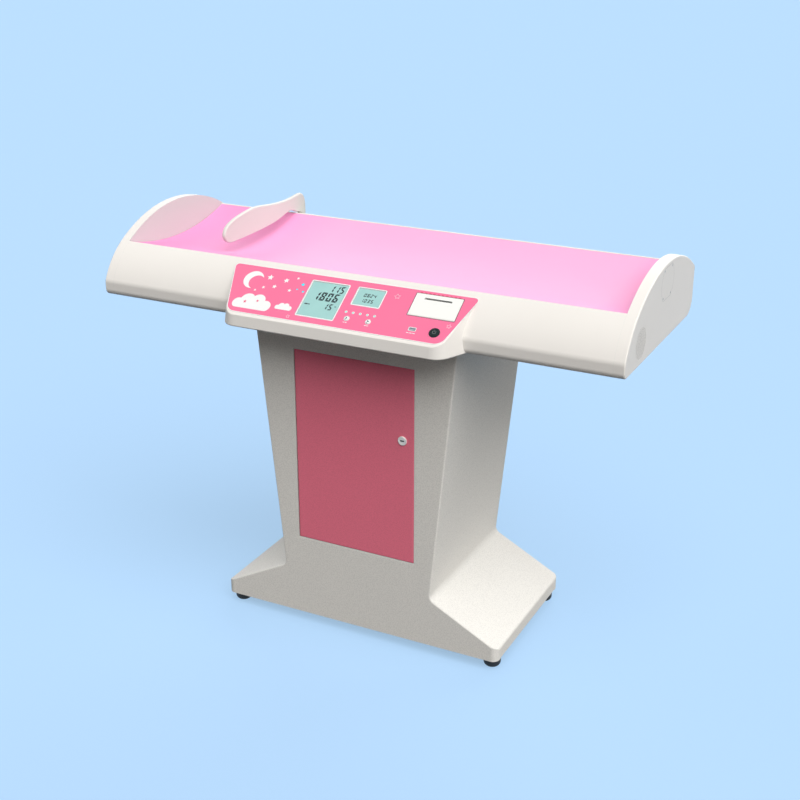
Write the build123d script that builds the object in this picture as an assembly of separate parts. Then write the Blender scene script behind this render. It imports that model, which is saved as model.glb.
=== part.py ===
from build123d import *
import os
from math import atan, cos, hypot, radians, sin, sqrt, tan

# Infant scale on a pedestal. Millimetres, +X to the right, +Y to the back, +Z up.
# The origin is on the floor, in the middle of the object's length and depth.

# Fits and clearances
seat_gap = 0.3          # between a piece and the seat that it is set into
running_gap = 0.05      # radial, a pin or stud in its hole
slide_gap = 0.3         # between the liner and the rail
key_gap = 0.4           # radial, a key cap in its hole

# Bench
bench_length = 1200
bench_front = -210
bench_back = 253
underside = 740
moulding_wall = 3
rim_front_y = -142.5    # inner face of the front rim
rim_back_y = 224.5      # inner face of the back rim
rim_back_z = 855.5      # top of the back rim at that face
rim_back_fall = 0.333   # drop of the back rim's top for each millimetre towards the back
crown_y = 51            # highest line of the end caps
crown_z = 905.5
crown_radius = 361
front_arc_top = (-143, 849)
front_arc_foot = (-210, 772)
front_arc_rise = 7.4
front_low_radius = 13.5
front_blend_radius = 20
back_low_radius = 36
back_top_radius = 10
cap_width = 23
cap_edge_radius = 3
lip_depth = 18
pan_front = -142.2
pan_back = 157
module_half = 292       # half the width of the middle front moulding

# Weighing tray
tray_front = (-141.7, 849)
tray_back = (223.7, 855)
tray_sag = 30
tray_sheet = 3
tray_end_gap = 1
tray_travel = 0.6

# Console
console_front = -270
crease_y = -263         # front edge of the sloping face
crease_z = 768
console_slope = 34
console_draft = 8
console_side_inset = 43.2
console_spread = 0.43   # growth of the half width for each millimetre towards the back
console_root_y = -150
console_corner_radius = 36
console_crease_radius = 2.5
console_under_radius = 3
label_border = 2.5
label_foot = 3.5
label_head = 130
label_film = 0.4
display_film = 0.2

# Pedestal
pedestal_front = -163
pedestal_depth = 374
pedestal_top_half = 241
knee_half = 182
knee_z = 140
base_half = 345
skirt_top = 55
skirt_bottom = 25.5
sheet = 1.5
pan_return = 22
edge_radius = 3.5
knee_radius = 18
skirt_fold_radius = 6.5
skirt_corner_radius = 16
top_plate_thickness = 4
floor_plate_thickness = 3

# Cabinet and door
door_half = 143.4
door_bottom = 220
door_top = 670
door_gap = 1.6
door_depth = 15
door_sheet = 1.2
door_bend_radius = 3
frame_flange_depth = 18
pivot_x_inset = 6.4
pivot_y_inset = 6
pivot_radius = 2
pivot_grip = 9
shelf_z = 433
shelf_thickness = 2
shelf_front = -135

# Door lock
lock_x = 116.5
lock_z = 506.5
lock_flange_radius = 10.3
lock_flange = 2.5
lock_body_radius = 9.2
lock_body_length = 19.5
plug_radius = 6.5
key_slot_length = 9.2
key_slot_width = 3.2
cam_length = 36
cam_width = 12
cam_thickness = 2.5

# Levelling feet
foot_side_inset = 23
foot_inset = 30
foot_radius = 19
foot_height = 19
foot_sole_radius = 8.5
foot_rim_radius = 2
stud_radius = 5
stud_top = 55
weld_nut_radius = 9
weld_nut_height = 8

# Subframe and weighing cells
rail_tube_y = (-60, 138)
rail_tube_width = 25
rail_tube_height = 25
rail_tube_wall = 2
rail_tube_end_gap = 47
bench_bolt_x = 180
bench_bolt_radius = 4
bolt_head_radius = 6.5
bolt_head_height = 5.5
cell_x = 330
cell_length = 130
cell_width = 30
cell_height = 22
cell_base_thickness = 5
cell_pad = 3
cell_bore_radius = 6.5
spine_width = 60
spine_height = 19
spine_wall = 1.5
spine_end_gap = 37
saddle_end_gap = 57
saddle_count = 5
saddle_thickness = 3
saddle_reach = 150
saddle_tip = 8
stop_radius = 5

# Length measuring
rail_end_gap = 10
rail_centre_z = 809
rail_web = 8
rail_web_depth = 4
rail_head = 24
rail_head_depth = 3.5
strip_thickness = 0.6
strip_low_z = 823
strip_height = 9.5
board_face_x = -362     # face of the footboard that looks at the baby
board_thickness = 9
hook_gap = 2.5
carriage_length = 70
carriage_front = 254.5
carriage_back = 270
carriage_low = 791
carriage_top = 839
liner_wall = 1.6
tongue_thickness = 8
tongue_height = 30

# Displays, lights and keys on the sloping face, as x and distance up the slope
main_display = (-85.4, -1.4, 22, 112)
small_display = (22.8, 82.8, 69.4, 111.8)
display_depth = 6
light_count = 5
light_start = 19.7
light_pitch = 16.2
light_row = 47.4
light_radius = 1.5
key_x = (28.1, 76.6)
key_row = 31.1
key_radius = 4.8
key_proud = 1.5
key_flange = 1.5
key_travel = 1.0
board_level = -12
board_sheet = 1.6
board_half_width = 103
power_side_gap = 25.9
power_row = 30.7
power_radius = 9
power_bezel_radius = 11.4
power_barrel_length = 18
power_proud = 2.5
power_travel = 2.0
usb_side_gap = 73.9
usb_row = 31
usb_width = 14
usb_height = 6.6
usb_depth = 14
usb_wall = 0.5

# Printer on the sloping face
lid_width = 102
lid_overhang = 3.2        # past the front corner of the console
lid_rows = (64.2, 120.5)
lid_thickness = 3
lid_proud = 1
lid_barrel_radius = 2.2
lid_pin_radius = 1.1
slot_row = 109
slot_length = 58
slot_width = 2.4
bucket_wall = 1.5
bucket_depth = 47
bucket_inset = 2
roll_radius = 18
roll_width = 57
roll_bore_radius = 6
roll_row = 88
roll_level = -27
roller_radius = 5
roller_row = 104
roller_level = -9.5
roller_shaft_radius = 1.5
head_row = 113
head_size = (64, 5, 10)

# End cap fittings
grille_y = -117
grille_z = 786
grille_radius = 36
grille_thickness = 1.5
grille_pitch = 6
grille_hole_radius = 1.8
cover_y = 43.6
cover_z = 863.6
cover_radius = 42
cover_half_height = 33
cover_thickness = 1.2
cover_screw_y = 25.5
cover_screw_z = 28
cover_screw_radius = 1.6
cover_screw_head = 2.8
cover_head_height = 0.7

# Electrics in the bench
supply_size = (150, 60, 30)
supply_x = -160
inlet_end_gap = 147
inlet_y = 40
inlet_flange = (50, 24, 2)
inlet_body = (30, 20, 24)
inlet_hollow = (24, 14, 15)
inlet_pin_pitch = 7

# Worked out from the sizes above
half_length = bench_length / 2
cap_inner = half_length - cap_width
rail_half = half_length - rail_end_gap
rail_tube_half = cap_inner - rail_tube_end_gap
spine_half = cap_inner - spine_end_gap
saddle_outer = cap_inner - saddle_end_gap
foot_x = base_half - foot_side_inset
console_front_half = module_half - console_side_inset
power_x = console_front_half - power_side_gap
usb_x = console_front_half - usb_side_gap
lid_end = console_front_half + lid_overhang
lid = (lid_end - lid_width, lid_end, *lid_rows)
inlet_x = inlet_end_gap - cap_inner
pedestal_back = pedestal_front + pedestal_depth
slope = radians(console_slope)
console_plane = Plane((0, crease_y, crease_z), x_dir=(1, 0, 0), z_dir=(0, -sin(slope), cos(slope)))
pan_top = underside + moulding_wall
tube_top = pan_top + rail_tube_height
cell_low = pan_top + cell_base_thickness + cell_pad
cell_top = cell_low + cell_height
spine_low = cell_top + cell_pad + tray_travel + 0.2
spine_top = spine_low + spine_height
frame_low = door_bottom - door_gap
frame_high = door_top + door_gap
frame_half = door_half + door_gap
pivot_x = -door_half + pivot_x_inset
pivot_y = pedestal_front + pivot_y_inset
bench_middle_y = sum(rail_tube_y) / 2


def block(x0, x1, y0, y1, z0, z1):
    """Box between two corners."""
    return Pos((x0 + x1) / 2, (y0 + y1) / 2, (z0 + z1) / 2) * Box(x1 - x0, y1 - y0, z1 - z0)


def along_x(section, x0, x1):
    """Section drawn in Y and Z, carried from x0 to x1."""
    return extrude(Plane.YZ.offset(x0) * section, x1 - x0)


def along_y(section, y0, y1):
    """Section drawn in X and Z, carried from y0 to y1."""
    return extrude(Plane.XZ.offset(-y0) * section, -(y1 - y0))


def rod_x(y, z, radius, x0, x1):
    return along_x(Pos(y, z) * Circle(radius), x0, x1)


def rod_y(x, z, radius, y0, y1):
    return along_y(Pos(x, z) * Circle(radius), y0, y1)


def rod_z(x, y, radius, z0, z1):
    return Pos(x, y, (z0 + z1) / 2) * Cylinder(radius, z1 - z0)


def on_slope(solid):
    """Place a solid drawn on the flat, as x, distance up the slope and height over it."""
    return console_plane.location * solid


def mirrored(solid):
    return mirror(solid, about=Plane.YZ)


def save(name, *solids):
    """Write one node, made of one or more separate solids."""
    pieces = [piece for solid in solids for piece in solid.solids()]
    shape = pieces[0] if len(pieces) == 1 else Compound(children=pieces)
    shape.label = name
    export_step(shape, f"parts/{name}.step")


# Bench section

def bench_outline():
    """Closed D section of the bench, up to the crown of the end caps."""
    back_drop = crown_radius - sqrt(crown_radius ** 2 - (bench_back - crown_y) ** 2)
    back_top = (bench_back, crown_z - back_drop)
    low_front = (bench_front, underside)
    low_back = (bench_back, underside)
    edges = [
        Line(low_front, low_back),
        Line(low_back, back_top),
        ThreePointArc(back_top, (crown_y, crown_z), front_arc_top),
        SagittaArc(front_arc_top, front_arc_foot, -front_arc_rise),
        Line(front_arc_foot, low_front),
    ]
    face = make_face(Curve() + edges)
    radii = {
        low_front: front_low_radius,
        low_back: back_low_radius,
        back_top: back_top_radius,
        front_arc_foot: front_blend_radius,
    }
    for point, radius in radii.items():
        corner = face.vertices().sort_by_distance((point[0], point[1], 0))[0]
        face = fillet(corner, radius)
    return face


def band(y0, y1, z0, z1):
    """Rectangle in the section plane."""
    return Pos((y0 + y1) / 2, (z0 + z1) / 2) * Rectangle(y1 - y0, z1 - z0)


outline = bench_outline()
inner_outline = offset(outline, -moulding_wall)
top_reach = crown_z + 50
front_zone = band(bench_front - 100, rim_front_y, underside - 50, top_reach)
back_zone = band(rim_back_y, bench_back + 50, underside - 50, top_reach)
back_zone += band(pan_back + seat_gap, bench_back + 50, underside - 50, underside + back_low_radius)


def tray_curve_centre():
    """Centre and radius of the tray's arc, from its two edges and its sag."""
    run = tray_back[0] - tray_front[0]
    rise = tray_back[1] - tray_front[1]
    chord = hypot(run, rise)
    radius = (chord ** 2 / 4 + tray_sag ** 2) / (2 * tray_sag)
    middle_y = (tray_front[0] + tray_back[0]) / 2
    middle_z = (tray_front[1] + tray_back[1]) / 2
    reach = radius - tray_sag
    return middle_y - rise / chord * reach, middle_z + run / chord * reach, radius


tray_centre_y, tray_centre_z, tray_radius = tray_curve_centre()


def tray_height(y):
    return tray_centre_z - sqrt(tray_radius ** 2 - (y - tray_centre_y) ** 2)


# Bench shells

def front_shell_section():
    rim_top = front_arc_top[1] - 30
    lip = band(rim_front_y - moulding_wall, rim_front_y, tray_front[1] - lip_depth, top_reach)
    wall = (outline - inner_outline) & front_zone
    lip = (outline & front_zone) & lip
    return wall + (lip - band(bench_front, rim_front_y, underside, rim_top - 50))


def rear_shell_section():
    lip = band(rim_back_y, rim_back_y + moulding_wall, rim_back_z - lip_depth, top_reach)
    reach = bench_back + 50 - rim_back_y
    above = make_face(Polyline((rim_back_y, rim_back_z), (rim_back_y, top_reach), (rim_back_y + reach, top_reach),
                               (rim_back_y + reach, rim_back_z - rim_back_fall * reach), close=True))
    lowered = (outline & band(bench_front, bench_back, underside, top_reach)) - above
    lowered -= band(bench_front, rim_back_y, rim_back_z, top_reach)
    wall = (lowered - offset(lowered, -moulding_wall)) & back_zone
    return wall + (lowered & lip)


def wedge_plan(inset):
    """Plan of the console's housing at the underside."""
    front_half = console_front_half - inset * 0.7
    root_half = console_front_half + console_spread * (console_root_y - console_front) - inset
    front = console_front + inset
    corners = [(-front_half, front), (front_half, front), (root_half, console_root_y), (-root_half, console_root_y)]
    face = make_face(Polyline(*corners, close=True))
    rounded = face.vertices().group_by(Axis.Y)[0]
    return fillet(rounded, console_corner_radius - inset)


def wedge(inset, floor, level):
    """Console body under a plane that lies level above the sloping face."""
    plan = Plane.XY.offset(floor) * wedge_plan(inset)
    body = extrude(plan, front_arc_top[1] - underside + 20, taper=console_draft)
    body &= block(-module_half, module_half, console_front - 10, console_root_y, floor - 1, top_reach)
    over = 2 * top_reach
    return body - on_slope(block(-over, over, -over, over, level, level + over))


def crease_edges(body):
    """Edges of the sloping face, apart from its upper one."""
    found = []
    for edge in body.edges():
        middle = edge.position_at(0.5)
        on_face = abs(console_plane.to_local_coords(middle).Z) < 0.05
        upper = middle.Y > bench_front and abs(edge.tangent_at(0.5).X) > 0.9
        if on_face and not upper and edge.length > 5:
            found.append(edge)
    return found


def under_edges(body):
    """Lower rim of the console, in front of the bench."""
    return [e for e in body.edges()
            if abs(e.position_at(0.5).Z - underside) < 0.1 and e.position_at(0.5).Y < bench_front]


def slope_hole(x0, x1, s0, s1, gap=0.0):
    """Cutter for an opening in the console's sloping wall."""
    return on_slope(block(x0 - gap, x1 + gap, s0 - gap, s1 + gap, -moulding_wall - 2, 3))


def slope_bore(x, s, radius):
    return on_slope(rod_z(x, s, radius, -moulding_wall - 2, 3))


def console_openings(gap):
    """Every opening that the sloping wall and the label share."""
    cutters = [slope_hole(*main_display, gap), slope_hole(*small_display, gap), slope_hole(*lid, gap)]
    half_w = usb_width / 2
    half_h = usb_height / 2
    cutters.append(slope_hole(usb_x - half_w, usb_x + half_w, usb_row - half_h, usb_row + half_h, gap))
    for i in range(light_count):
        cutters.append(slope_bore(light_start + i * light_pitch, light_row, light_radius + gap))
    for x in key_x:
        cutters.append(slope_bore(x, key_row, key_radius + key_gap))
    return cutters


lid_axis_row = lid[2] + lid_barrel_radius + 0.2
lid_axis_level = lid_proud - lid_barrel_radius


def lid_pin(x0, x1):
    """Stub moulded on the housing, which the lid's barrel snaps over."""
    return on_slope(rod_x(lid_axis_row, lid_axis_level, lid_pin_radius, x0, x1))


def console_housing():
    """Middle front moulding: the bench's front wall with the console's wedge."""
    core = along_x(outline & front_zone, -module_half, module_half)
    hollow = along_x((inner_outline & front_zone) - front_shell_section(), -module_half - 1, module_half + 1)
    body = core + wedge(0, underside, 0)
    body = fillet(crease_edges(body), console_crease_radius)
    body = fillet(under_edges(body), console_under_radius) - hollow
    body -= wedge(moulding_wall, underside + moulding_wall, -moulding_wall)
    for cutter in console_openings(seat_gap):
        body -= cutter
    body -= slope_bore(power_x, power_row, power_radius + 0.9 + seat_gap)
    return body + lid_pin(lid[0] - seat_gap - 1, lid[0] + 7) + lid_pin(lid[1] - 7, lid[1] + seat_gap + 1)


def console_label():
    foot_half = console_front_half - label_border
    head_half = foot_half + (label_head - label_foot) * 0.31
    foot_corner = console_corner_radius - 12
    head_corner = 9
    corners = [(-foot_half, label_foot), (foot_half, label_foot), (head_half, label_head), (-head_half, label_head)]
    face = make_face(Polyline(*corners, close=True))
    face = fillet(face.vertices().group_by(Axis.Y)[0], foot_corner)
    face = fillet(face.vertices().group_by(Axis.Y)[-1], head_corner)
    body = on_slope(extrude(face, label_film))
    for cutter in console_openings(seat_gap + display_film):
        body -= cutter
    return body - slope_bore(power_x, power_row, power_bezel_radius + seat_gap)


def end_cap():
    """Right end cap: a hollow cheek that is open to the bench below the tray."""
    body = along_x(outline, cap_inner, half_length)
    rim = body.faces().sort_by(Axis.X)[-1].edges()
    body = fillet(rim, cap_edge_radius)
    body -= along_x(inner_outline, cap_inner + moulding_wall, half_length - moulding_wall)
    low = band(bench_front, bench_back, underside, tray_height(tray_centre_y) - 12)
    window = offset(outline, -moulding_wall - 9) & low
    return body - along_x(window, cap_inner - 1, cap_inner + moulding_wall + 1)


def cover_outline(gap):
    disc = Circle(cover_radius + gap)
    return disc & Rectangle(2 * cover_radius + 10, 2 * (cover_half_height + gap))


def cover_screw_places():
    return [(cover_y + j * cover_screw_y, cover_z + k * cover_screw_z) for j in (-1, 1) for k in (-1, 1)]


def right_end_cap():
    body = end_cap()
    body -= along_x(Pos(cover_y, cover_z) * cover_outline(seat_gap), half_length - cover_thickness, half_length + 1)
    for y, z in cover_screw_places():
        body -= rod_x(y, z, cover_screw_radius + running_gap, half_length - 8, half_length)
    body -= rod_x(grille_y, grille_z, grille_radius + seat_gap, half_length - grille_thickness, half_length + 1)
    return body - rod_x(grille_y, grille_z, grille_radius - 3, half_length - 8, half_length)


def speaker_grille():
    plate = rod_x(grille_y, grille_z, grille_radius, half_length - grille_thickness, half_length)
    rows = int(grille_radius / grille_pitch) + 1
    holes = []
    for row in range(-rows, rows + 1):
        shift = grille_pitch / 2 if row % 2 else 0
        for column in range(-rows, rows + 1):
            y = column * grille_pitch + shift
            z = row * grille_pitch * 0.866
            if hypot(y, z) < grille_radius - 4.5:
                holes.append(rod_x(grille_y + y, grille_z + z, grille_hole_radius, half_length - 5, half_length + 1))
    return plate - holes


def speaker_driver():
    back = half_length - moulding_wall
    frame = rod_x(grille_y, grille_z, grille_radius - 1, back - 2.5, back)
    basket = rod_x(grille_y, grille_z, grille_radius - 9, back - 12, back)
    magnet = rod_x(grille_y, grille_z, grille_radius - 18, back - 22, back)
    return frame + basket + magnet


def cap_cover_plate():
    body = along_x(Pos(cover_y, cover_z) * cover_outline(0), half_length - cover_thickness, half_length)
    for y, z in cover_screw_places():
        body -= rod_x(y, z, cover_screw_head + running_gap, half_length - cover_head_height, half_length + 1)
        body -= rod_x(y, z, cover_screw_radius + running_gap, half_length - 5, half_length + 1)
    return body


def cap_cover_screw(y, z):
    head = rod_x(y, z, cover_screw_head, half_length - cover_head_height, half_length)
    return head + rod_x(y, z, cover_screw_radius, half_length - 7, half_length)


# Pedestal

def pedestal_outline(inset=0.0):
    """Front view of the pedestal, with its knee and its skirt."""
    right = [(base_half, skirt_bottom), (base_half, skirt_top), (knee_half, knee_z), (pedestal_top_half, underside)]
    left = [(-x, z) for x, z in reversed(right)]
    face = make_face(Polyline(*right, *left, close=True))
    knees = [v for v in face.vertices() if abs(v.Y - knee_z) < 1]
    face = fillet(knees, knee_radius)
    corners = [v for v in face.vertices() if abs(v.Y - skirt_top) < 1]
    face = fillet(corners, skirt_fold_radius)
    if inset:
        face = offset(face, -inset)
    return face


def column_half(z):
    """Half the width of the column's outside at height z."""
    return knee_half + (pedestal_top_half - knee_half) * (z - knee_z) / (underside - knee_z)


def column_inner_half(z):
    lean = atan((pedestal_top_half - knee_half) / (underside - knee_z))
    return column_half(z) - sheet / cos(lean)


def plan_block(inset):
    """Plan of the base, with rounded corners, over the pedestal's whole height."""
    plan = RectangleRounded(2 * (base_half - inset), pedestal_depth - 2 * inset, skirt_corner_radius - inset)
    middle = (pedestal_front + pedestal_back) / 2
    return extrude(Plane.XY.offset(skirt_bottom - 5) * (Pos(0, middle) * plan), underside - skirt_bottom + 10)


def edged_prism(face, y0, y1, radius):
    """Prism from y0 to y1 with its front outline rounded, apart from its top and bottom."""
    body = along_y(face, y0, y1)
    front = body.faces().sort_by(Axis.Y)[0]
    centre = [e for e in front.edges() if abs(e.tangent_at(0.5).Z) > 0.05]
    return fillet(centre, radius)


def pedestal_pan():
    """Front panel as a folded pan, open at its back, top and bottom."""
    outer = edged_prism(pedestal_outline(), pedestal_front, pedestal_front + pan_return, edge_radius)
    skin = pedestal_front + sheet
    inner = edged_prism(pedestal_outline(sheet), skin, skin + pan_return, edge_radius - sheet)
    top_half = column_inner_half(underside - sheet)
    foot_half = base_half - sheet
    back = skin + pan_return
    inner += block(-top_half, top_half, skin, back, underside - sheet - 1, underside + 1)
    inner += block(-foot_half, foot_half, skin, back, skirt_bottom - 1, skirt_bottom + sheet + 1)
    return (outer & plan_block(0)) - (inner & plan_block(sheet))


def to_back(solid):
    """The same piece on the pedestal's back."""
    return Pos(0, pedestal_front + pedestal_back, 0) * mirror(solid, about=Plane.XZ)


def door_frame():
    """Folded flange round the door's opening."""
    outer = block(-frame_half - sheet, frame_half + sheet, pedestal_front + sheet,
                  pedestal_front + frame_flange_depth, frame_low - sheet, frame_high + sheet)
    return outer - door_opening()


def door_opening():
    return block(-frame_half, frame_half, pedestal_front - 1, pedestal_front + 60, frame_low, frame_high)


def pedestal_front_panel():
    body = pedestal_pan() - door_opening() + door_frame()
    for z in (frame_low, frame_high):
        body -= rod_z(pivot_x, pivot_y, pivot_radius + running_gap, z - 5, z + 5)
    return body


def pedestal_side():
    """Right side: one folded sheet from the skirt up to the bench."""
    ring = pedestal_outline() - pedestal_outline(sheet)
    low = skirt_bottom + sheet
    high = underside - sheet
    half = Pos(base_half / 2 + 5, (low + high) / 2) * Rectangle(base_half, high - low)
    return along_y(ring & half, pedestal_front + pan_return, pedestal_back - pan_return)


def level_plate(half, front, back, z0, z1):
    """Flat plate between the folded panels, with its corners clear of their bends."""
    plan = RectangleRounded(2 * half, back - front, edge_radius + seat_gap)
    return extrude(Plane.XY.offset(z0) * (Pos(0, (front + back) / 2) * plan), z1 - z0)


def bolt_places():
    return [(x, y) for x in (-bench_bolt_x, bench_bolt_x) for y in rail_tube_y]


def with_bolt_holes(body, z0, z1):
    for x, y in bolt_places():
        body -= rod_z(x, y, bench_bolt_radius + seat_gap, z0 - 1, z1 + 1)
    return body


def pedestal_top_plate():
    z0 = underside - top_plate_thickness
    half = column_inner_half(z0) - seat_gap
    inside = sheet + seat_gap
    body = level_plate(half, pedestal_front + inside, pedestal_back - inside, z0, underside)
    return with_bolt_holes(body, z0, underside)


def foot_places():
    front = pedestal_front + foot_inset
    back = pedestal_back - foot_inset
    return [(-foot_x, front), (foot_x, front), (-foot_x, back), (foot_x, back)]


def pedestal_floor_plate():
    z1 = skirt_bottom + floor_plate_thickness
    inset = sheet + seat_gap
    body = plan_block(inset) & block(-base_half, base_half, pedestal_front, pedestal_back, skirt_bottom, z1)
    for x, y in foot_places():
        body -= rod_z(x, y, stud_radius + running_gap, skirt_bottom - 1, z1 + 1)
    return body


def weld_nut(x, y):
    z0 = skirt_bottom + floor_plate_thickness
    body = extrude(Plane((x, y, z0)) * RegularPolygon(weld_nut_radius, 6), weld_nut_height)
    return body - rod_z(x, y, stud_radius + running_gap, z0 - 1, z0 + weld_nut_height + 1)


def levelling_foot(x, y):
    """Moulded foot on its stud."""
    pad = rod_z(x, y, foot_radius, 0, foot_height)
    pad = fillet(pad.edges().sort_by(Axis.Z)[-1], foot_rim_radius)
    pad = fillet(pad.edges().sort_by(Axis.Z)[0], foot_radius - foot_sole_radius)
    return pad + rod_z(x, y, stud_radius, foot_height, stud_top)


# Door and lock

def cabinet_door():
    outer = along_y(Pos(0, (door_bottom + door_top) / 2) * Rectangle(2 * door_half, door_top - door_bottom),
                    pedestal_front, pedestal_front + door_depth)
    outer = fillet(outer.faces().sort_by(Axis.Y)[0].edges(), door_bend_radius)
    inner = along_y(Pos(0, (door_bottom + door_top) / 2)
                    * Rectangle(2 * (door_half - door_sheet), door_top - door_bottom - 2 * door_sheet),
                    pedestal_front + door_sheet, pedestal_front + door_depth + 1)
    inner = fillet(inner.faces().sort_by(Axis.Y)[0].edges(), door_bend_radius - door_sheet)
    body = outer - inner
    body -= rod_y(lock_x, lock_z, lock_body_radius + running_gap, pedestal_front - 1, pedestal_front + door_depth)
    return body - rod_z(pivot_x, pivot_y, pivot_radius + running_gap, door_bottom - 1, door_top + 1)


def door_pivot_pins():
    """Upper pin hangs on its flange; the lower one carries the door on its collar."""
    head = frame_high + sheet
    upper = rod_z(pivot_x, pivot_y, pivot_radius, door_top - pivot_grip, head)
    upper += rod_z(pivot_x, pivot_y, 2 * pivot_radius, head, head + 1.5)
    lower = rod_z(pivot_x, pivot_y, pivot_radius, frame_low - sheet, door_bottom + pivot_grip)
    lower += rod_z(pivot_x, pivot_y, 2 * pivot_radius, frame_low, door_bottom - seat_gap)
    return [upper, lower]


def door_lock_barrel():
    flange = rod_y(lock_x, lock_z, lock_flange_radius, pedestal_front - lock_flange, pedestal_front)
    flange = fillet(flange.edges().sort_by(Axis.Y)[0], 1)
    body = flange + rod_y(lock_x, lock_z, lock_body_radius, pedestal_front, pedestal_front + lock_body_length)
    bore = plug_radius + running_gap
    return body - rod_y(lock_x, lock_z, bore, pedestal_front - 5, pedestal_front + lock_body_length + 1)


def lock_plug():
    front = pedestal_front - lock_flange + 0.3
    back = pedestal_front + lock_body_length
    body = rod_y(lock_x, lock_z, plug_radius, front, back)
    slot = Pos(lock_x, lock_z) * Rectangle(key_slot_length, key_slot_width)
    return body - along_y(slot, front - 1, front + 9)


def lock_cam():
    """Latch arm, hanging down while the door is unlocked."""
    back = pedestal_front + lock_body_length + 0.2
    arm = SlotCenterPoint((0, -cam_length / 2), (0, 0), cam_width)
    return along_y(Pos(lock_x, lock_z) * arm, back, back + cam_thickness)


# Subframe, weighing cells and tray

def subframe_tube(y):
    half = rail_tube_half
    tube = block(-half, half, y - rail_tube_width / 2, y + rail_tube_width / 2, pan_top, tube_top)
    wide = rail_tube_width / 2 - rail_tube_wall
    tube -= block(-half - 1, half + 1, y - wide, y + wide, pan_top + rail_tube_wall, tube_top - rail_tube_wall)
    for x in (-bench_bolt_x, bench_bolt_x):
        tube -= rod_z(x, y, bench_bolt_radius + running_gap, pan_top - 1, pan_top + rail_tube_wall + 1)
    return tube


def bench_bolt(x, y):
    under = underside - top_plate_thickness
    head = extrude(Plane((x, y, under - bolt_head_height)) * RegularPolygon(bolt_head_radius, 6), bolt_head_height)
    return head + rod_z(x, y, bench_bolt_radius, under, pan_top + 12)


def beam_base_pan():
    half = cap_inner - seat_gap
    body = block(-half, half, pan_front, pan_back, underside, pan_top)
    body -= block(inlet_x - inlet_body[0] / 2 - seat_gap, inlet_x + inlet_body[0] / 2 + seat_gap,
                  inlet_y - inlet_body[1] / 2 - seat_gap, inlet_y + inlet_body[1] / 2 + seat_gap,
                  underside - 1, pan_top + 1)
    return with_bolt_holes(body, underside, pan_top)


def cell_base(side):
    """Plate on the base pan, with the pad that the cell's fixed end stands on."""
    half = (rail_tube_y[1] - rail_tube_y[0] - rail_tube_width) / 2 - seat_gap
    plate = block(side * cell_x - 85, side * cell_x + 85, bench_middle_y - half, bench_middle_y + half,
                  pan_top, pan_top + cell_base_thickness)
    outer_end = side * (cell_x + cell_length / 2 - 20)
    pad_top = pan_top + cell_base_thickness + cell_pad
    return plate + block(outer_end - 20, outer_end + 20, bench_middle_y - cell_width / 2,
                         bench_middle_y + cell_width / 2, pan_top + cell_base_thickness, pad_top)


def load_cell(side):
    """Bending beam with its twin bores."""
    middle = side * cell_x
    body = block(middle - cell_length / 2, middle + cell_length / 2, bench_middle_y - cell_width / 2,
                 bench_middle_y + cell_width / 2, cell_low, cell_top)
    centre_z = (cell_low + cell_top) / 2
    for shift in (-12, 12):
        body -= rod_y(middle + shift, centre_z, cell_bore_radius, bench_middle_y - 30, bench_middle_y + 30)
    return body - block(middle - 12, middle + 12, bench_middle_y - 30, bench_middle_y + 30,
                        centre_z - 1.5, centre_z + 1.5)


def tray_spine():
    half = spine_half
    y0 = bench_middle_y - spine_width / 2
    y1 = bench_middle_y + spine_width / 2
    tube = block(-half, half, y0, y1, spine_low, spine_top)
    tube -= block(-half - 1, half + 1, y0 + spine_wall, y1 - spine_wall,
                  spine_low + spine_wall, spine_top - spine_wall)
    for side in (-1, 1):
        free_end = side * (cell_x - cell_length / 2 + 20)
        tube += block(free_end - 20, free_end + 20, bench_middle_y - cell_width / 2,
                      bench_middle_y + cell_width / 2, spine_low - cell_pad, spine_low)
    return tube


def tray_saddle(x):
    """Upright plate between the spine and the tray's underside."""
    near = bench_middle_y - spine_width / 2
    far = bench_middle_y + spine_width / 2
    tips = [bench_middle_y - saddle_reach, bench_middle_y + saddle_reach]
    tip_low = [tray_height(y) - tray_sheet - saddle_tip for y in tips]
    points = [(near, spine_top), (far, spine_top), (tips[1], tip_low[1]), (tips[1], tray_back[1]),
              (tips[0], tray_back[1]), (tips[0], tip_low[0])]
    plate = make_face(Polyline(*points, close=True))
    plate -= Pos(tray_centre_y, tray_centre_z - tray_sheet - 0.2) * Circle(tray_radius)
    return along_x(plate, x - saddle_thickness / 2, x + saddle_thickness / 2)


def saddle_places():
    return [saddle_outer * (2 * i / (saddle_count - 1) - 1) for i in range(saddle_count)]


def saddle_under(y):
    """Height of the saddle's lower edge at y, over a subframe tube."""
    near = bench_middle_y + spine_width / 2 * (1 if y > bench_middle_y else -1)
    tip = bench_middle_y + saddle_reach * (1 if y > bench_middle_y else -1)
    tip_low = tray_height(tip) - tray_sheet - saddle_tip
    return spine_top + (tip_low - spine_top) * (y - near) / (tip - near)


def overload_stop(x, y):
    """Stop screw on a subframe tube, under the end of a saddle."""
    slant = abs(saddle_under(y + 1) - saddle_under(y - 1)) / 2
    top = saddle_under(y) - slant * stop_radius - tray_travel - 0.2
    return rod_z(x, y, stop_radius, tube_top, top)


def weighing_tray():
    half = cap_inner - tray_end_gap
    lowered = [(y, z - tray_sheet) for y, z in (tray_back, tray_front)]
    edges = [
        SagittaArc(tray_front, tray_back, -tray_sag),
        Line(tray_back, lowered[0]),
        SagittaArc(lowered[0], lowered[1], tray_sag),
        Line(lowered[1], tray_front),
    ]
    return along_x(make_face(Curve() + edges), -half, half)


# Length measuring

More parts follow.
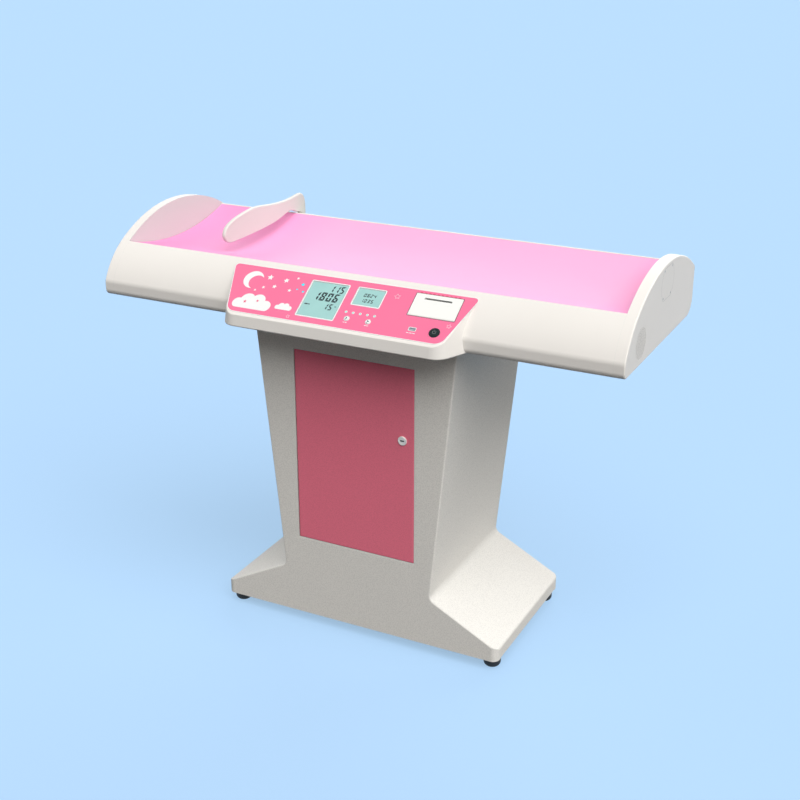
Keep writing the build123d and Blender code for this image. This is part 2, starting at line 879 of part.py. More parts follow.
def rail_profile(grow):
    """T section of the rail on the bench's back face."""
    web = band(bench_back - 1, bench_back + rail_web_depth, rail_centre_z - rail_web / 2 - grow,
               rail_centre_z + rail_web / 2 + grow)
    head = band(bench_back + rail_web_depth - grow, bench_back + rail_web_depth + rail_head_depth + grow,
                rail_centre_z - rail_head / 2 - grow, rail_centre_z + rail_head / 2 + grow)
    return web + head


def slide_rail():
    section = rail_profile(0) & band(bench_back, bench_back + 30, underside, crown_z)
    return along_x(section, -rail_half, rail_half)


carriage_x1 = board_face_x - board_thickness / 2 + carriage_length / 2
carriage_x0 = carriage_x1 - carriage_length


def carriage():
    body = along_x(band(carriage_front, carriage_back, carriage_low, carriage_top), carriage_x0, carriage_x1)
    body -= along_x(rail_profile(slide_gap + liner_wall), carriage_x0 - 1, carriage_x1 + 1)
    back_face = board_face_x - board_thickness
    return body + block(back_face - tongue_thickness, back_face, carriage_front + 2.5, carriage_back - 1.5,
                        carriage_top, carriage_top + tongue_height)


def carriage_liner():
    section = rail_profile(slide_gap + liner_wall) - rail_profile(slide_gap)
    section &= band(carriage_front, carriage_back, carriage_low, carriage_top)
    return along_x(section, carriage_x0, carriage_x1)


def footboard_outline():
    """Side view of the footboard: a leaf over the tray that hooks over the back rim."""
    hook_front = bench_back + hook_gap
    hook_back = carriage_back - 1
    hook_foot = (hook_front, rim_back_z - 14)
    tail_top = (hook_back, rim_back_z + 7)
    nose = (-80.5, 870)
    upper = Spline(nose, (-77, 881), (-69, 889), (-52, 896.5), (-29.5, 902), (8, 907), (46, 909), (88, 904.7),
                   (128.6, 899.5), (157, 897.3), (186, 896.8), (212, 898), (236, 900), (252, 898.5), (262, 890.5),
                   (267.5, 877), tail_top)
    lower = Spline(hook_foot, (253, 847.5), (247.5, 852.5), (240, 855.3), (231, 856.8), (224, 859.3), (213, 864.3),
                   (203, 866.5), (193, 866.6), (170, 862.3), (143, 856.7), (110, 853.3), (77, 851.3), (42, 850.2),
                   (8, 849.7), (-27, 849.6), (-52, 850), (-66, 853), (-76, 860), nose)
    edges = [
        upper,
        Line(tail_top, (hook_back, carriage_top)),
        Line((hook_back, carriage_top), (hook_front, carriage_top)),
        Line((hook_front, carriage_top), hook_foot),
        lower,
    ]
    return make_face(Curve() + edges)


# Console fittings

def display(place):
    """Display module: glass in the opening and its body behind the wall."""
    x0, x1, s0, s1 = place
    glass = block(x0, x1, s0, s1, -moulding_wall, -0.4)
    body = block(x0 - 4, x1 + 4, s0 - 4, s1 + 4, -moulding_wall - display_depth, -moulding_wall)
    return on_slope(glass + body)


def indicator_light(i):
    x = light_start + i * light_pitch
    return on_slope(rod_z(x, light_row, light_radius, board_level, 0.6))


def control_board():
    body = block(-board_half_width, board_half_width, 16, 117, board_level - board_sheet, board_level)
    return on_slope(body)


def key_cap(x):
    stem = rod_z(x, key_row, key_radius, -moulding_wall - 0.4 - key_flange, label_film + key_proud)
    flange = rod_z(x, key_row, key_radius + 1.4, -moulding_wall - 0.4 - key_flange, -moulding_wall - 0.4)
    return on_slope(fillet((stem + flange).edges().sort_by(Axis.Z)[-1], 0.8))


def key_switch(x):
    top = -moulding_wall - 0.4 - key_flange - key_travel - 0.2
    body = block(x - 3, x + 3, key_row - 3, key_row + 3, board_level, top - 1)
    return on_slope(body + rod_z(x, key_row, 1.6, top - 1, top))


def power_switch_housing():
    """Bezel on the label, with the switch's barrel through the wall."""
    bezel = rod_z(power_x, power_row, power_bezel_radius, 0, label_film + 1.2)
    bezel = fillet(bezel.edges().sort_by(Axis.Z)[-1], 0.6)
    barrel = rod_z(power_x, power_row, power_radius + 0.9, -power_barrel_length, 0)
    hollow = rod_z(power_x, power_row, power_radius + 0.3, -power_barrel_length + 3, 5)
    post = rod_z(power_x, power_row, 3, -power_barrel_length + 3, -power_travel - 7.7)
    return on_slope(bezel + barrel - hollow + post)


def power_button():
    body = rod_z(power_x, power_row, power_radius, -7.5, power_proud)
    return on_slope(fillet(body.edges().sort_by(Axis.Z)[-1], 0.7))


def usb_port():
    half_w = usb_width / 2
    half_h = usb_height / 2
    shell = block(usb_x - half_w, usb_x + half_w, usb_row - half_h, usb_row + half_h, -usb_depth, 0.6)
    shell -= block(usb_x - half_w + usb_wall, usb_x + half_w - usb_wall, usb_row - half_h + usb_wall,
                   usb_row + half_h - usb_wall, -usb_depth + 2, 1)
    tongue = block(usb_x - half_w + 1.2, usb_x + half_w - 1.2, usb_row + 0.2, usb_row + 1.9, -usb_depth + 2, -2)
    return on_slope(shell + tongue)


# Printer, in the same flat layout as the sloping face

lid_middle_x = (lid[0] + lid[1]) / 2
lid_low = lid_proud - lid_thickness


def printer_lid():
    """Cover with its paper slot, hinge barrel and the two ears that hold the roller."""
    plate = block(lid[0], lid[1], lid_axis_row, lid[3], lid_low, lid_proud)
    barrel = rod_x(lid_axis_row, lid_axis_level, lid_barrel_radius, lid[0], lid[1])
    slot_half = slot_length / 2
    body = plate + barrel
    body -= block(lid_middle_x - slot_half, lid_middle_x + slot_half, slot_row - slot_width / 2,
                  slot_row + slot_width / 2, lid_low - 1, lid_proud + 1)
    ear_low = roller_level - roller_shaft_radius - 2
    for side in (-1, 1):
        x = lid_middle_x + side * (roll_width / 2 + 3)
        ear = block(x - 1.5, x + 1.5, roller_row - 4, roller_row + 4, ear_low, lid_low)
        body += ear - rod_x(roller_row, roller_level, roller_shaft_radius + running_gap, x - 3, x + 3)
    body -= rod_x(lid_axis_row, lid_axis_level, lid_pin_radius + running_gap, lid[0] - 1, lid[0] + 8)
    body -= rod_x(lid_axis_row, lid_axis_level, lid_pin_radius + running_gap, lid[1] - 8, lid[1] + 1)
    return on_slope(body)


def platen_roller():
    half = roll_width / 2
    barrel = rod_x(roller_row, roller_level, roller_radius, lid_middle_x - half, lid_middle_x + half)
    reach = half + 4.5
    shaft = rod_x(roller_row, roller_level, roller_shaft_radius, lid_middle_x - reach, lid_middle_x + reach)
    return on_slope(barrel + shaft)


def paper_roll():
    half = roll_width / 2
    roll = rod_x(roll_row, roll_level, roll_radius, lid_middle_x - half, lid_middle_x + half)
    bore = rod_x(roll_row, roll_level, roll_bore_radius, lid_middle_x - half - 1, lid_middle_x + half + 1)
    return on_slope(roll - bore)


def printer_bucket():
    """Open box behind the lid, with a cradle for the roll."""
    x0, x1, s0, s1 = lid
    top = -moulding_wall
    outer = block(x0 - 2, x1 + 2, s0 - 3, s1 - bucket_inset, -bucket_depth, top)
    inner = block(x0 - 2 + bucket_wall, x1 + 2 - bucket_wall, s0 - 3 + bucket_wall,
                  s1 - bucket_inset - bucket_wall, -bucket_depth + bucket_wall, top + 1)
    cradle_half = roll_width / 2 + 4
    cradle = block(lid_middle_x - cradle_half, lid_middle_x + cradle_half, roll_row - 14, roll_row + 14,
                   -bucket_depth + bucket_wall, roll_level - 8)
    body = outer - inner + cradle
    body -= rod_x(roll_row, roll_level, roll_radius + 0.4, x0, x1)
    return on_slope(body)


def print_head():
    wide, thick, tall = head_size
    front = head_row - thick / 2
    body = block(lid_middle_x - wide / 2, lid_middle_x + wide / 2, front, front + thick,
                 roller_level - tall / 2, roller_level + tall / 2)
    arm = block(lid_middle_x - 10, lid_middle_x + 10, front + thick, lid[3] - bucket_inset - bucket_wall,
                roller_level - 2, roller_level + 2)
    return on_slope(body + arm)


# Electrics

def power_supply():
    wide, deep, tall = supply_size
    return block(supply_x - wide / 2, supply_x + wide / 2, bench_middle_y - deep / 2, bench_middle_y + deep / 2,
                 pan_top, pan_top + tall)


def mains_inlet():
    """Three-pin inlet that looks down out of the bench's underside."""
    flange = Pos(inlet_x, inlet_y, underside - inlet_flange[2] / 2) * Box(*inlet_flange)
    low = underside
    body = Pos(inlet_x, inlet_y, low + inlet_body[2] / 2) * Box(*inlet_body)
    start = underside - inlet_flange[2]
    hollow = Pos(inlet_x, inlet_y, start + inlet_hollow[2] / 2) * Box(*inlet_hollow)
    body = flange + body - hollow
    for i in (-1, 0, 1):
        y = inlet_y + (2 if i == 0 else -2)
        body += Pos(inlet_x + i * inlet_pin_pitch, y, start + inlet_hollow[2] - 5) * Box(2, 4, 10)
    return body


os.makedirs("parts", exist_ok=True)

save("pedestal_front_panel", pedestal_front_panel())
save("pedestal_back_panel", to_back(pedestal_pan()))
save("pedestal_right_side", pedestal_side())
save("pedestal_left_side", mirrored(pedestal_side()))
save("pedestal_top_plate", pedestal_top_plate())
save("pedestal_floor_plate", pedestal_floor_plate())
save("weld_nuts", *[weld_nut(x, y) for x, y in foot_places()])
for name, (x, y) in zip(("front_left", "front_right", "back_left", "back_right"), foot_places()):
    save(f"levelling_foot_{name}", levelling_foot(x, y))

plate_inside = sheet + seat_gap
floor_z = frame_low - sheet - shelf_thickness
save("cabinet_floor", level_plate(column_inner_half(floor_z) - seat_gap, pedestal_front + plate_inside,
                                  pedestal_back - plate_inside, floor_z, floor_z + shelf_thickness))
save("cabinet_shelf", level_plate(column_inner_half(shelf_z) - seat_gap, shelf_front,
                                  pedestal_back - plate_inside, shelf_z, shelf_z + shelf_thickness))
save("cabinet_door", cabinet_door())
save("door_pivot_pins", *door_pivot_pins())
save("door_lock_barrel", door_lock_barrel())
save("lock_plug", lock_plug())
save("lock_cam", lock_cam())

fascia = along_x(front_shell_section(), module_half, cap_inner)
save("front_moulding_right", fascia)
save("front_moulding_left", mirrored(fascia))
save("console_housing", console_housing())
save("rear_shell", along_x(rear_shell_section(), -cap_inner, cap_inner))
save("end_cap_right", right_end_cap())
save("end_cap_left", mirrored(end_cap()))
save("beam_base_pan", beam_base_pan())
save("cap_cover_plate", cap_cover_plate())
save("cap_cover_screws", *[cap_cover_screw(y, z) for y, z in cover_screw_places()])
save("speaker_grille", speaker_grille())
save("speaker_driver", speaker_driver())

save("subframe_tubes", *[subframe_tube(y) for y in rail_tube_y])
save("bench_bolts", *[bench_bolt(x, y) for x, y in bolt_places()])
save("load_cell_bases", cell_base(-1), cell_base(1))
save("load_cells", load_cell(-1), load_cell(1))
save("tray_spine", tray_spine())
save("tray_saddles", *[tray_saddle(x) for x in saddle_places()])
stop_x = saddle_places()[-1]
save("overload_stops", *[overload_stop(x, y) for x in (-stop_x, stop_x) for y in rail_tube_y])
save("weighing_tray", weighing_tray())

save("slide_rail", slide_rail())
save("position_strip", block(-rail_half, rail_half, bench_back, bench_back + strip_thickness,
                             strip_low_z, strip_low_z + strip_height))
save("carriage", carriage())
save("carriage_liner", carriage_liner())
save("footboard", along_x(footboard_outline(), board_face_x - board_thickness, board_face_x))

save("console_label", console_label())
save("main_display", display(main_display))
save("small_display", display(small_display))
save("indicator_lights", *[indicator_light(i) for i in range(light_count)])
save("control_board", control_board())
save("key_switches", *[key_switch(x) for x in key_x])
save("key_left", key_cap(key_x[0]))
save("key_right", key_cap(key_x[1]))
save("power_switch_housing", power_switch_housing())
save("power_button", power_button())
save("usb_port", usb_port())

save("printer_bucket", printer_bucket())
save("printer_lid", printer_lid())
save("platen_roller", platen_roller())
save("print_head", print_head())
save("paper_roll", paper_roll())

save("power_supply", power_supply())
save("mains_inlet", mains_inlet())
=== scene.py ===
import bpy
import bmesh
import math
from math import cos, sin, pi, radians
from mathutils import Matrix, Vector


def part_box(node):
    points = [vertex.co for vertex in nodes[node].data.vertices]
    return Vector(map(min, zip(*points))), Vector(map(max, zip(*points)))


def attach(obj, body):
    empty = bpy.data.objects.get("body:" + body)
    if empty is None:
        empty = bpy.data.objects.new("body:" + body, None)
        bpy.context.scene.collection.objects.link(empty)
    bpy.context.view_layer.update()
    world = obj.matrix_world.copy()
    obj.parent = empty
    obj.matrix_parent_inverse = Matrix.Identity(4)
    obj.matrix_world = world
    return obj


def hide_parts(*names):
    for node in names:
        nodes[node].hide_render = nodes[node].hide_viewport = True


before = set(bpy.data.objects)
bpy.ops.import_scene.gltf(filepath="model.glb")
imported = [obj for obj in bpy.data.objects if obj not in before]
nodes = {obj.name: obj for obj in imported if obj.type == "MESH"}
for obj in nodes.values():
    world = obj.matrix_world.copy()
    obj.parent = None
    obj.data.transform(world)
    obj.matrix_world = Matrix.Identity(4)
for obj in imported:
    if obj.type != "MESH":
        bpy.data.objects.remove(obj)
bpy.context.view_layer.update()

mm = 0.001  # outlines, sizes and places of the new pieces are written in millimetres
scene = bpy.context.scene


def shift(x, y, z):
    return Matrix.Translation((x * mm, y * mm, z * mm))


# The console's sloping face: x to the right, y up the slope, z out of it
slopePlace = shift(0, -263, 768) @ Matrix.Rotation(radians(34), 4, "X")


# Helpers for shaders and node trees

class Wire:
    # one socket, which can be used in sums
    def __init__(self, desk, socket):
        self.desk, self.socket = desk, socket

    def calc(self, operation, *terms):
        return self.desk.add("ShaderNodeMath", {"operation": operation}, dict(enumerate(terms)))

    def __add__(self, other):
        return self.calc("ADD", self, other)

    def __radd__(self, other):
        return self.calc("ADD", other, self)

    def __sub__(self, other):
        return self.calc("SUBTRACT", self, other)

    def __rsub__(self, other):
        return self.calc("SUBTRACT", other, self)

    def __mul__(self, other):
        return self.calc("MULTIPLY", self, other)

    def __rmul__(self, other):
        return self.calc("MULTIPLY", other, self)

    def __pow__(self, other):
        return self.calc("POWER", self, other)

    def __lt__(self, other):
        return self.calc("LESS_THAN", self, other)

    def absolute(self):
        return self.calc("ABSOLUTE", self)

    def wave(self):
        return self.calc("SINE", self)

    def clipped(self):
        limited = self.calc("MINIMUM", self, 1.0)
        return limited.calc("MAXIMUM", limited, 0.0)


class Desk:
    # builds one node tree, of a material, of the world or of geometry nodes
    def __init__(self, tree, prefix):
        self.tree, self.prefix = tree, prefix

    def plug(self, socket, value):
        if value is None:
            return
        if isinstance(value, Wire):
            self.tree.links.new(value.socket, socket)
        else:
            socket.default_value = value

    def add(self, kind, settings=None, values=None, out=0):
        # the prefix is left out of a kind, except where it isn't the tree's own
        known = kind.startswith(("ShaderNode", "GeometryNode", "FunctionNode", "NodeGroup"))
        node = self.tree.nodes.new(kind if known else self.prefix + kind)
        for key, value in (settings or {}).items():
            setattr(node, key, value)
        for key, value in (values or {}).items():
            self.plug(node.inputs[key], value)
        return Wire(self, node.outputs[out] if node.outputs else None)

    def outlets(self, wire):
        # all outputs of the node that a wire comes from
        return [Wire(self, socket) for socket in wire.socket.node.outputs]

    def mixColour(self, factor, first, second):
        # sockets 6 and 7 of a Mix node are its two colours, output 2 is the colour
        return self.add("ShaderNodeMix", {"data_type": "RGBA"}, {0: factor, 6: first, 7: second}, out=2)

    def vector(self, **values):
        return self.add("ShaderNodeCombineXYZ", {}, values)


def toned(colour, factor=1.0):
    return (*[min(1.0, c * factor) for c in colour], 1.0)


class Finish(Desk):
    # a material on Object coordinates, with one shader
    def __init__(self, name):
        self.material = bpy.data.materials.new(name)
        self.material.use_nodes = True
        self.material.node_tree.nodes.clear()
        super().__init__(self.material.node_tree, "ShaderNode")
        self.place = self.add("TexCoord", out=3)  # output 3 is Object

    def mapped(self, scale=(1, 1, 1), centre=(0, 0, 0)):
        return self.add("Mapping", {"vector_type": "TEXTURE"},
                        {"Vector": self.place, "Location": centre, "Scale": scale})

    def axes(self, vector=None):
        # x, y and z of a vector, or of the place on the piece
        return self.outlets(self.add("SeparateXYZ", {}, {"Vector": vector or self.place}))

    def noise(self, scale, detail=2.0, rough=0.5, vector=None):
        return self.add("TexNoise", {}, {"Vector": vector or self.place, "Scale": scale, "Detail": detail,
                                         "Roughness": rough})

    def spread(self, value, low, high, to=(0.0, 1.0)):
        return self.add("MapRange", {}, {"Value": value, "From Min": low, "From Max": high,
                                         "To Min": to[0], "To Max": to[1]})

    def drifting(self, scale, detail, colour, shade):
        # a colour that drifts slowly to its shade
        return self.mixColour(self.spread(self.noise(scale, detail), 0.3, 0.7), toned(colour), toned(shade))

    def surface(self, tone, roughness, relief=None, others=None):
        # relief is a height, its distance in metres and its strength
        values = {"Base Color": tone, "Roughness": roughness, **(others or {})}
        if relief:
            height, distance, strength = relief
            values["Normal"] = self.add("Bump", {}, {"Height": height, "Distance": distance, "Strength": strength})
        return self.ended(self.add("BsdfPrincipled", {}, values))

    def ended(self, shader):
        self.add("OutputMaterial", {}, {"Surface": shader})
        return self.material


def mouldedPlastic(name, colour, shade, rough, grain, depth, specular=0.15, paintedInnerShade=None):
    # injection moulded: slow drift of tone, a spark-eroded grain and a few rubbed places;
    # the last argument is painted shade: a greyer colour for what lies within a distance from the middle, and that
    # distance, standing for the shade on the inner walls of the end caps
    look = Finish(name)
    rubbed = look.spread(look.noise(38.0, 5.0, 0.65), 0.55, 0.8)
    fine = look.noise(grain, 2.0, 0.6)
    tone = look.drifting(5.0, 3.0, colour, shade)
    tone = look.mixColour((fine - 0.5).absolute() * 0.35, tone, toned(colour, 0.86))
    # painted shade on the inner walls of the end caps
    if paintedInnerShade:
        inner, reach = paintedInnerShade
        tone = look.mixColour(look.axes()[0].absolute() < reach, tone, toned(inner))
    return look.surface(tone, rough + (fine - 0.5) * 0.10 - rubbed * 0.06, (fine, depth, 0.35),
                        {"Specular IOR Level": specular})


tray = {"pink": (0.98, 0.43, 0.655), "shade": (0.965, 0.415, 0.645), "deep": (0.96, 0.275, 0.56),
        # each an axis, two places on it in metres and how much painted shade lies at each
        "leftEnd": (0, -0.40, -0.22, (0.62, 0.0)), "rightEnd": (0, 0.49, 0.578, (0.0, 0.75)),
        "front": (1, -0.22, 0.0, (0.30, 0.0))}


def trayLacquer():
    # sprayed pink, with painted shade: a deeper pink at the ends and along the front of the trough, where the caps, the
    # footboard and the front rim shade it
    look = Finish("trayPink")
    axes = look.axes()
    leftEnd, rightEnd, front = [look.spread(axes[axis], low, high, shadeAmounts) for axis, low, high, shadeAmounts in
                                (tray[place] for place in ("leftEnd", "rightEnd", "front"))]
    fine = look.noise(1100.0, 2.0, 0.6)
    tone = look.drifting(5.0, 3.0, tray["pink"], tray["shade"])
    # painted shade, mixed in towards the ends and the front
    tone = look.mixColour((leftEnd + rightEnd + front).clipped(), tone, toned(tray["deep"]))
    return look.surface(tone, 0.50 + (fine - 0.5) * 0.10, (fine, 0.00012, 0.35), {"Specular IOR Level": 0.10})


def powderCoat(name, colour, shade, rough, depth):
    # orange peel, a fine speckle and coarser specks, whose depth is how much of the colour they keep
    look = Finish(name)
    peel, speckle, specks = look.noise(520.0, 2.0, 0.55), look.noise(1150.0, 1.0), look.noise(400.0, 1.0, 0.4)
    tone = look.drifting(3.5, 3.0, colour, shade)
    tone = look.mixColour(look.spread(speckle, 0.50, 0.72) * 0.45, tone, toned(colour, 0.80))
    tone = look.mixColour(look.spread(peel, 0.52, 0.75) * 0.30, tone, toned(colour, 1.12))
    darker = look.mixColour(0.35, tone, toned(colour, depth))
    tone = look.mixColour(look.spread(specks, 0.42, 0.66), tone, darker)
    height = peel * 0.5 + speckle * 0.2 + specks * 0.3
    return look.surface(tone, rough + (peel - 0.5) * 0.22, (height, 0.0005, 0.55), {"Specular IOR Level": 0.08})


def brushedMetal(name, colour, rough, along, metallic):
    # drawn or brushed along one direction, with a slow stain
    look = Finish(name)
    streak = look.noise(26.0, 4.0, 0.7, look.mapped(scale=tuple(1 / squeeze for squeeze in along)))
    stain = look.spread(look.noise(14.0, 4.0, 0.6), 0.45, 0.75)
    tone = look.mixColour(streak * 0.5, toned(colour), toned(colour, 0.72))
    tone = look.mixColour(stain * 0.35, tone, toned(colour, 0.82))
    return look.surface(tone, rough + (streak - 0.5) * 0.18 + stain * 0.05, (streak, 0.0002, 0.25),
                        {"Metallic": metallic})


def printedFilm(name, colour, shade):
    # screen-printed polycarbonate overlay: a fine velvet grain
    look = Finish(name)
    grain = look.noise(1600.0, 1.0)
    tone = look.drifting(9.0, 2.0, colour, shade)
    tone = look.mixColour((grain - 0.5).absolute() * 0.3, tone, toned(colour, 0.9))
    return look.surface(tone, 0.34 + (grain - 0.5) * 0.12, (grain, 0.0001, 0.2), {"Specular IOR Level": 0.3})


def lcdGlass():
    # reflective display: an even teal, slightly clouded, with a faint pixel grid under a gloss
    look = Finish("lcdGlass")
    x, z = look.axes()[::2]
    grid = ((x * 5200.0).wave() * 0.5 + 0.5) * ((z * 9300.0).wave() * 0.5 + 0.5)
    cloud = look.spread(look.noise(16.0, 2.0), 0.35, 0.7)
    tone = look.mixColour(cloud, toned((0.37, 0.63, 0.585)), toned((0.345, 0.585, 0.55)))
    tone = look.mixColour(grid * 0.06, tone, toned((0.22, 0.42, 0.40)))
    return look.surface(tone, 0.20 + cloud * 0.05, None, {"Coat Weight": 0.35, "Coat Roughness": 0.06})


def plainInk(name, colour, rough, glow=None):
    # one even tone with a slight grain, for print, shaded joints and lenses
    look = Finish(name)
    grain = look.noise(900.0, 2.0)
    tone = look.mixColour(look.spread(grain, 0.35, 0.7), toned(colour), toned(colour, 0.86))
    others = {"Specular IOR Level": 0.2}
    if glow:
        others["Emission Color"], others["Emission Strength"] = toned(glow), 0.12
    return look.surface(tone, rough + (grain - 0.5) * 0.1, None, others)


def rubberFinish():
    # black rubber with pores and a little dust
    look = Finish("footRubber")
    pores = look.noise(700.0, 4.0, 0.65)
    dust = look.spread(look.noise(60.0, 4.0, 0.6), 0.52, 0.78)
    tone = look.mixColour(dust * 0.5, toned((0.018, 0.018, 0.019)), toned((0.075, 0.072, 0.068)))
    return look.surface(tone, 0.62 + dust * 0.18, (pores, 0.0003, 0.4))


def boardFinish():
    # solder mask with traces running under it
    look = Finish("boardGreen")
    cells = look.add("TexVoronoi", {"distance": "MANHATTAN", "feature": "F1"}, {"Vector": look.place, "Scale": 130.0})
    track = look.spread((cells * 9.0).wave(), 0.2, 0.6)
    tone = look.mixColour(track, toned((0.012, 0.11, 0.045)), toned((0.03, 0.20, 0.085)))
    return look.surface(tone, 0.38 - track * 0.08, (track, 0.0001, 0.4))


def rollFinish():
    # thermal paper: wound layers on the ends of the roll, smooth outside
    look = Finish("paperRoll")
    low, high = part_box("paper_roll")
    y, z = look.axes(look.mapped(centre=tuple((low + high) / 2)))[1:]
    layers = (((y * y + z * z) ** 0.5) * 9000.0).wave() * 0.5 + 0.5
    tone = look.mixColour(layers * 0.35, toned((0.90, 0.90, 0.87)), toned((0.70, 0.70, 0.67)))
    return look.surface(tone, 0.6 + layers * 0.1, (layers, 0.0001, 0.3))


# Colour, the shade it drifts to, roughness, scale of the grain, its depth in metres, specular and the painted shade of
# the inside
plastics = {
    "bodyWhite": ((0.85, 0.81, 0.757), (0.83, 0.79, 0.737), 0.44, 850.0, 0.00025),
    # the inner walls of the end caps are painted greyer, for the shade that falls on them
    "capWhite": ((0.85, 0.81, 0.757), (0.83, 0.79, 0.737), 0.44, 850.0, 0.00025, 0.15,
                 ((0.66, 0.69, 0.645), 0.5772)),
    # a darker copy of the body's white: painted shade for the footboard
    "boardWhite": ((0.73, 0.725, 0.67), (0.715, 0.71, 0.655), 0.44, 850.0, 0.00025),
    "lidWhite": ((0.88, 0.875, 0.83), (0.87, 0.865, 0.82), 0.36, 1000.0, 0.00015),
    "keyWhite": ((0.86, 0.87, 0.84), (0.84, 0.85, 0.82), 0.35, 1100.0, 0.00012),
    "innerWhite": ((0.78, 0.77, 0.74), (0.75, 0.74, 0.71), 0.45, 800.0, 0.0002),
    "blackGloss": ((0.016, 0.026, 0.025), (0.020, 0.030, 0.029), 0.30, 1200.0, 0.00008, 0.12),
    "blackSatin": ((0.026, 0.028, 0.029), (0.034, 0.036, 0.037), 0.46, 900.0, 0.0003),
    "coneGrey": ((0.30, 0.30, 0.29), (0.34, 0.34, 0.33), 0.7, 600.0, 0.0004),
}
# Colour and the shade it drifts to
films = {
    "labelPink": ((0.89, 0.19, 0.33), (0.875, 0.18, 0.32)),
    "printWhite": ((0.88, 0.88, 0.86), (0.86, 0.86, 0.84)),
    "printCyan": ((0.03, 0.78, 0.88), (0.03, 0.74, 0.85)),
    "printRose": ((0.80, 0.10, 0.20), (0.78, 0.09, 0.19)),
    "printBlush": ((0.93, 0.56, 0.66), (0.92, 0.55, 0.65)),
}
# Colour, the shade it drifts to, roughness and the depth of the specks
powders = {
    "powderGrey": ((0.84, 0.812, 0.758), (0.82, 0.793, 0.742), 0.68, 0.66),
    "doorRose": ((0.90, 0.208, 0.29), (0.88, 0.198, 0.28), 0.58, 0.78),
}
# Colour, roughness and glow
inks = {
    "lcdInk": ((0.030, 0.036, 0.038), 0.35),
    "lampLens": ((0.36, 0.82, 0.71), 0.22, (0.45, 0.95, 0.82)),
    # a pale grey that paints the lit edge of the door
    "sealGrey": ((0.76, 0.82, 0.79), 0.6),
    # painted shade for the insides of slots
    "darkSlot": ((0.02, 0.02, 0.022), 0.7),
    "seamShade": ((0.16, 0.085, 0.10), 0.7),
    "seamGrey": ((0.60, 0.575, 0.54), 0.6),
    "markTeal": ((0.05, 0.17, 0.165), 0.45),
    "markGrey": ((0.22, 0.22, 0.215), 0.45),
}
# Colour, roughness, how far the streaks are squeezed along each axis, and metallic
metals = {
    "plated": ((0.86, 0.85, 0.83), 0.24, (8, 8, 8), 0.65),
    "lockNickel": ((0.92, 0.88, 0.81), 0.34, (8, 8, 8), 0.15),
    "zincSteel": ((0.55, 0.55, 0.54), 0.36, (6, 6, 6), 0.8),
    "railAluminium": ((0.78, 0.775, 0.76), 0.36, (1, 70, 70), 0.65),
    "milledAluminium": ((0.74, 0.735, 0.72), 0.32, (50, 1, 50), 0.75),
    "goldContact": ((0.92, 0.66, 0.26), 0.22, (10, 1, 10), 1.0),
}
finishes = {"trayPink": trayLacquer(), "lcdGlass": lcdGlass(), "footRubber": rubberFinish(),
            "boardGreen": boardFinish(), "paperRoll": rollFinish()}
for make, table in ((mouldedPlastic, plastics), (printedFilm, films), (powderCoat, powders), (plainInk, inks),
                    (brushedMetal, metals)):
    for name, values in table.items():
        finishes[name] = make(name, *values)

wears = {
    "bodyWhite": ["front_moulding_left", "front_moulding_right", "console_housing", "rear_shell", "cap_cover_plate",
                  "speaker_grille", "footboard"],
    "capWhite": ["end_cap_left", "end_cap_right"],
    "trayPink": ["weighing_tray"],
    "labelPink": ["console_label"],
    "lcdGlass": ["main_display", "small_display"],
    "lidWhite": ["printer_lid"],
    "keyWhite": ["key_left", "key_right", "key_switches"],
    "innerWhite": ["printer_bucket", "power_supply", "carriage_liner"],
    "lampLens": ["indicator_lights"],
    "powderGrey": ["pedestal_front_panel", "pedestal_back_panel", "pedestal_left_side", "pedestal_right_side",
                   "pedestal_top_plate", "pedestal_floor_plate", "cabinet_floor", "cabinet_shelf"],
    "doorRose": ["cabinet_door"],
    "blackGloss": ["power_button", "power_switch_housing"],
    "blackSatin": ["mains_inlet", "print_head", "carriage", "platen_roller"],
    "coneGrey": ["speaker_driver"],
    "footRubber": ["levelling_foot_front_left", "levelling_foot_front_right", "levelling_foot_back_left",
                   "levelling_foot_back_right"],
    "boardGreen": ["control_board"],
    "paperRoll": ["paper_roll"],
    "plated": ["lock_cam", "usb_port", "cap_cover_screws"],
    "lockNickel": ["door_lock_barrel", "lock_plug"],
    "zincSteel": ["beam_base_pan", "subframe_tubes", "bench_bolts", "load_cell_bases", "tray_spine", "tray_saddles",
                  "overload_stops", "weld_nuts", "door_pivot_pins"],
    "railAluminium": ["slide_rail", "position_strip"],
    "milledAluminium": ["load_cells"],
}
for finish, names in wears.items():
    for name in names:
        mesh = nodes[name].data
        mesh.materials.clear()
        mesh.materials.append(finishes[finish])
bare = sorted(set(nodes) - {name for names in wears.values() for name in names})
print("finishes on CAD nodes:", sum(len(names) for names in wears.values()), "left:", bare)


# Outlines, all in millimetres

def arc(radius, start, end, steps, x=0.0, y=0.0):
    angles = [start + (end - start) * i / steps for i in range(steps + 1)]
    return [(x + radius * cos(angle), y + radius * sin(angle)) for angle in angles]


def disc(radius, sides, x=0.0, y=0.0):
    return arc(radius, 0.0, 2 * pi, sides, x, y)[:-1]


def boxLoop(left, right, low, high):
    return [(left, low), (right, low), (right, high), (left, high)]


def roundedLoop(corners, radii, steps=5):
    # rounds the corners of a polygon given counter-clockwise, all with one radius or each with its own
    loop = []
    for i, corner in enumerate(corners):
        here = Vector(corner)
        back = (Vector(corners[i - 1]) - here).normalized()
        ahead = (Vector(corners[(i + 1) % len(corners)]) - here).normalized()
        half = back.angle(ahead) / 2
        radius = radii[i] if isinstance(radii, list) else radii
        reach = radius / math.tan(half)
        centre = here + (back + ahead).normalized() * radius / sin(half)
        start, end = here + back * reach - centre, here + ahead * reach - centre
        first = math.atan2(start.y, start.x)
        turn = (math.atan2(end.y, end.x) - first + pi) % (2 * pi) - pi
        loop += arc(radius, first, first + turn, steps, centre.x, centre.y)
    return loop


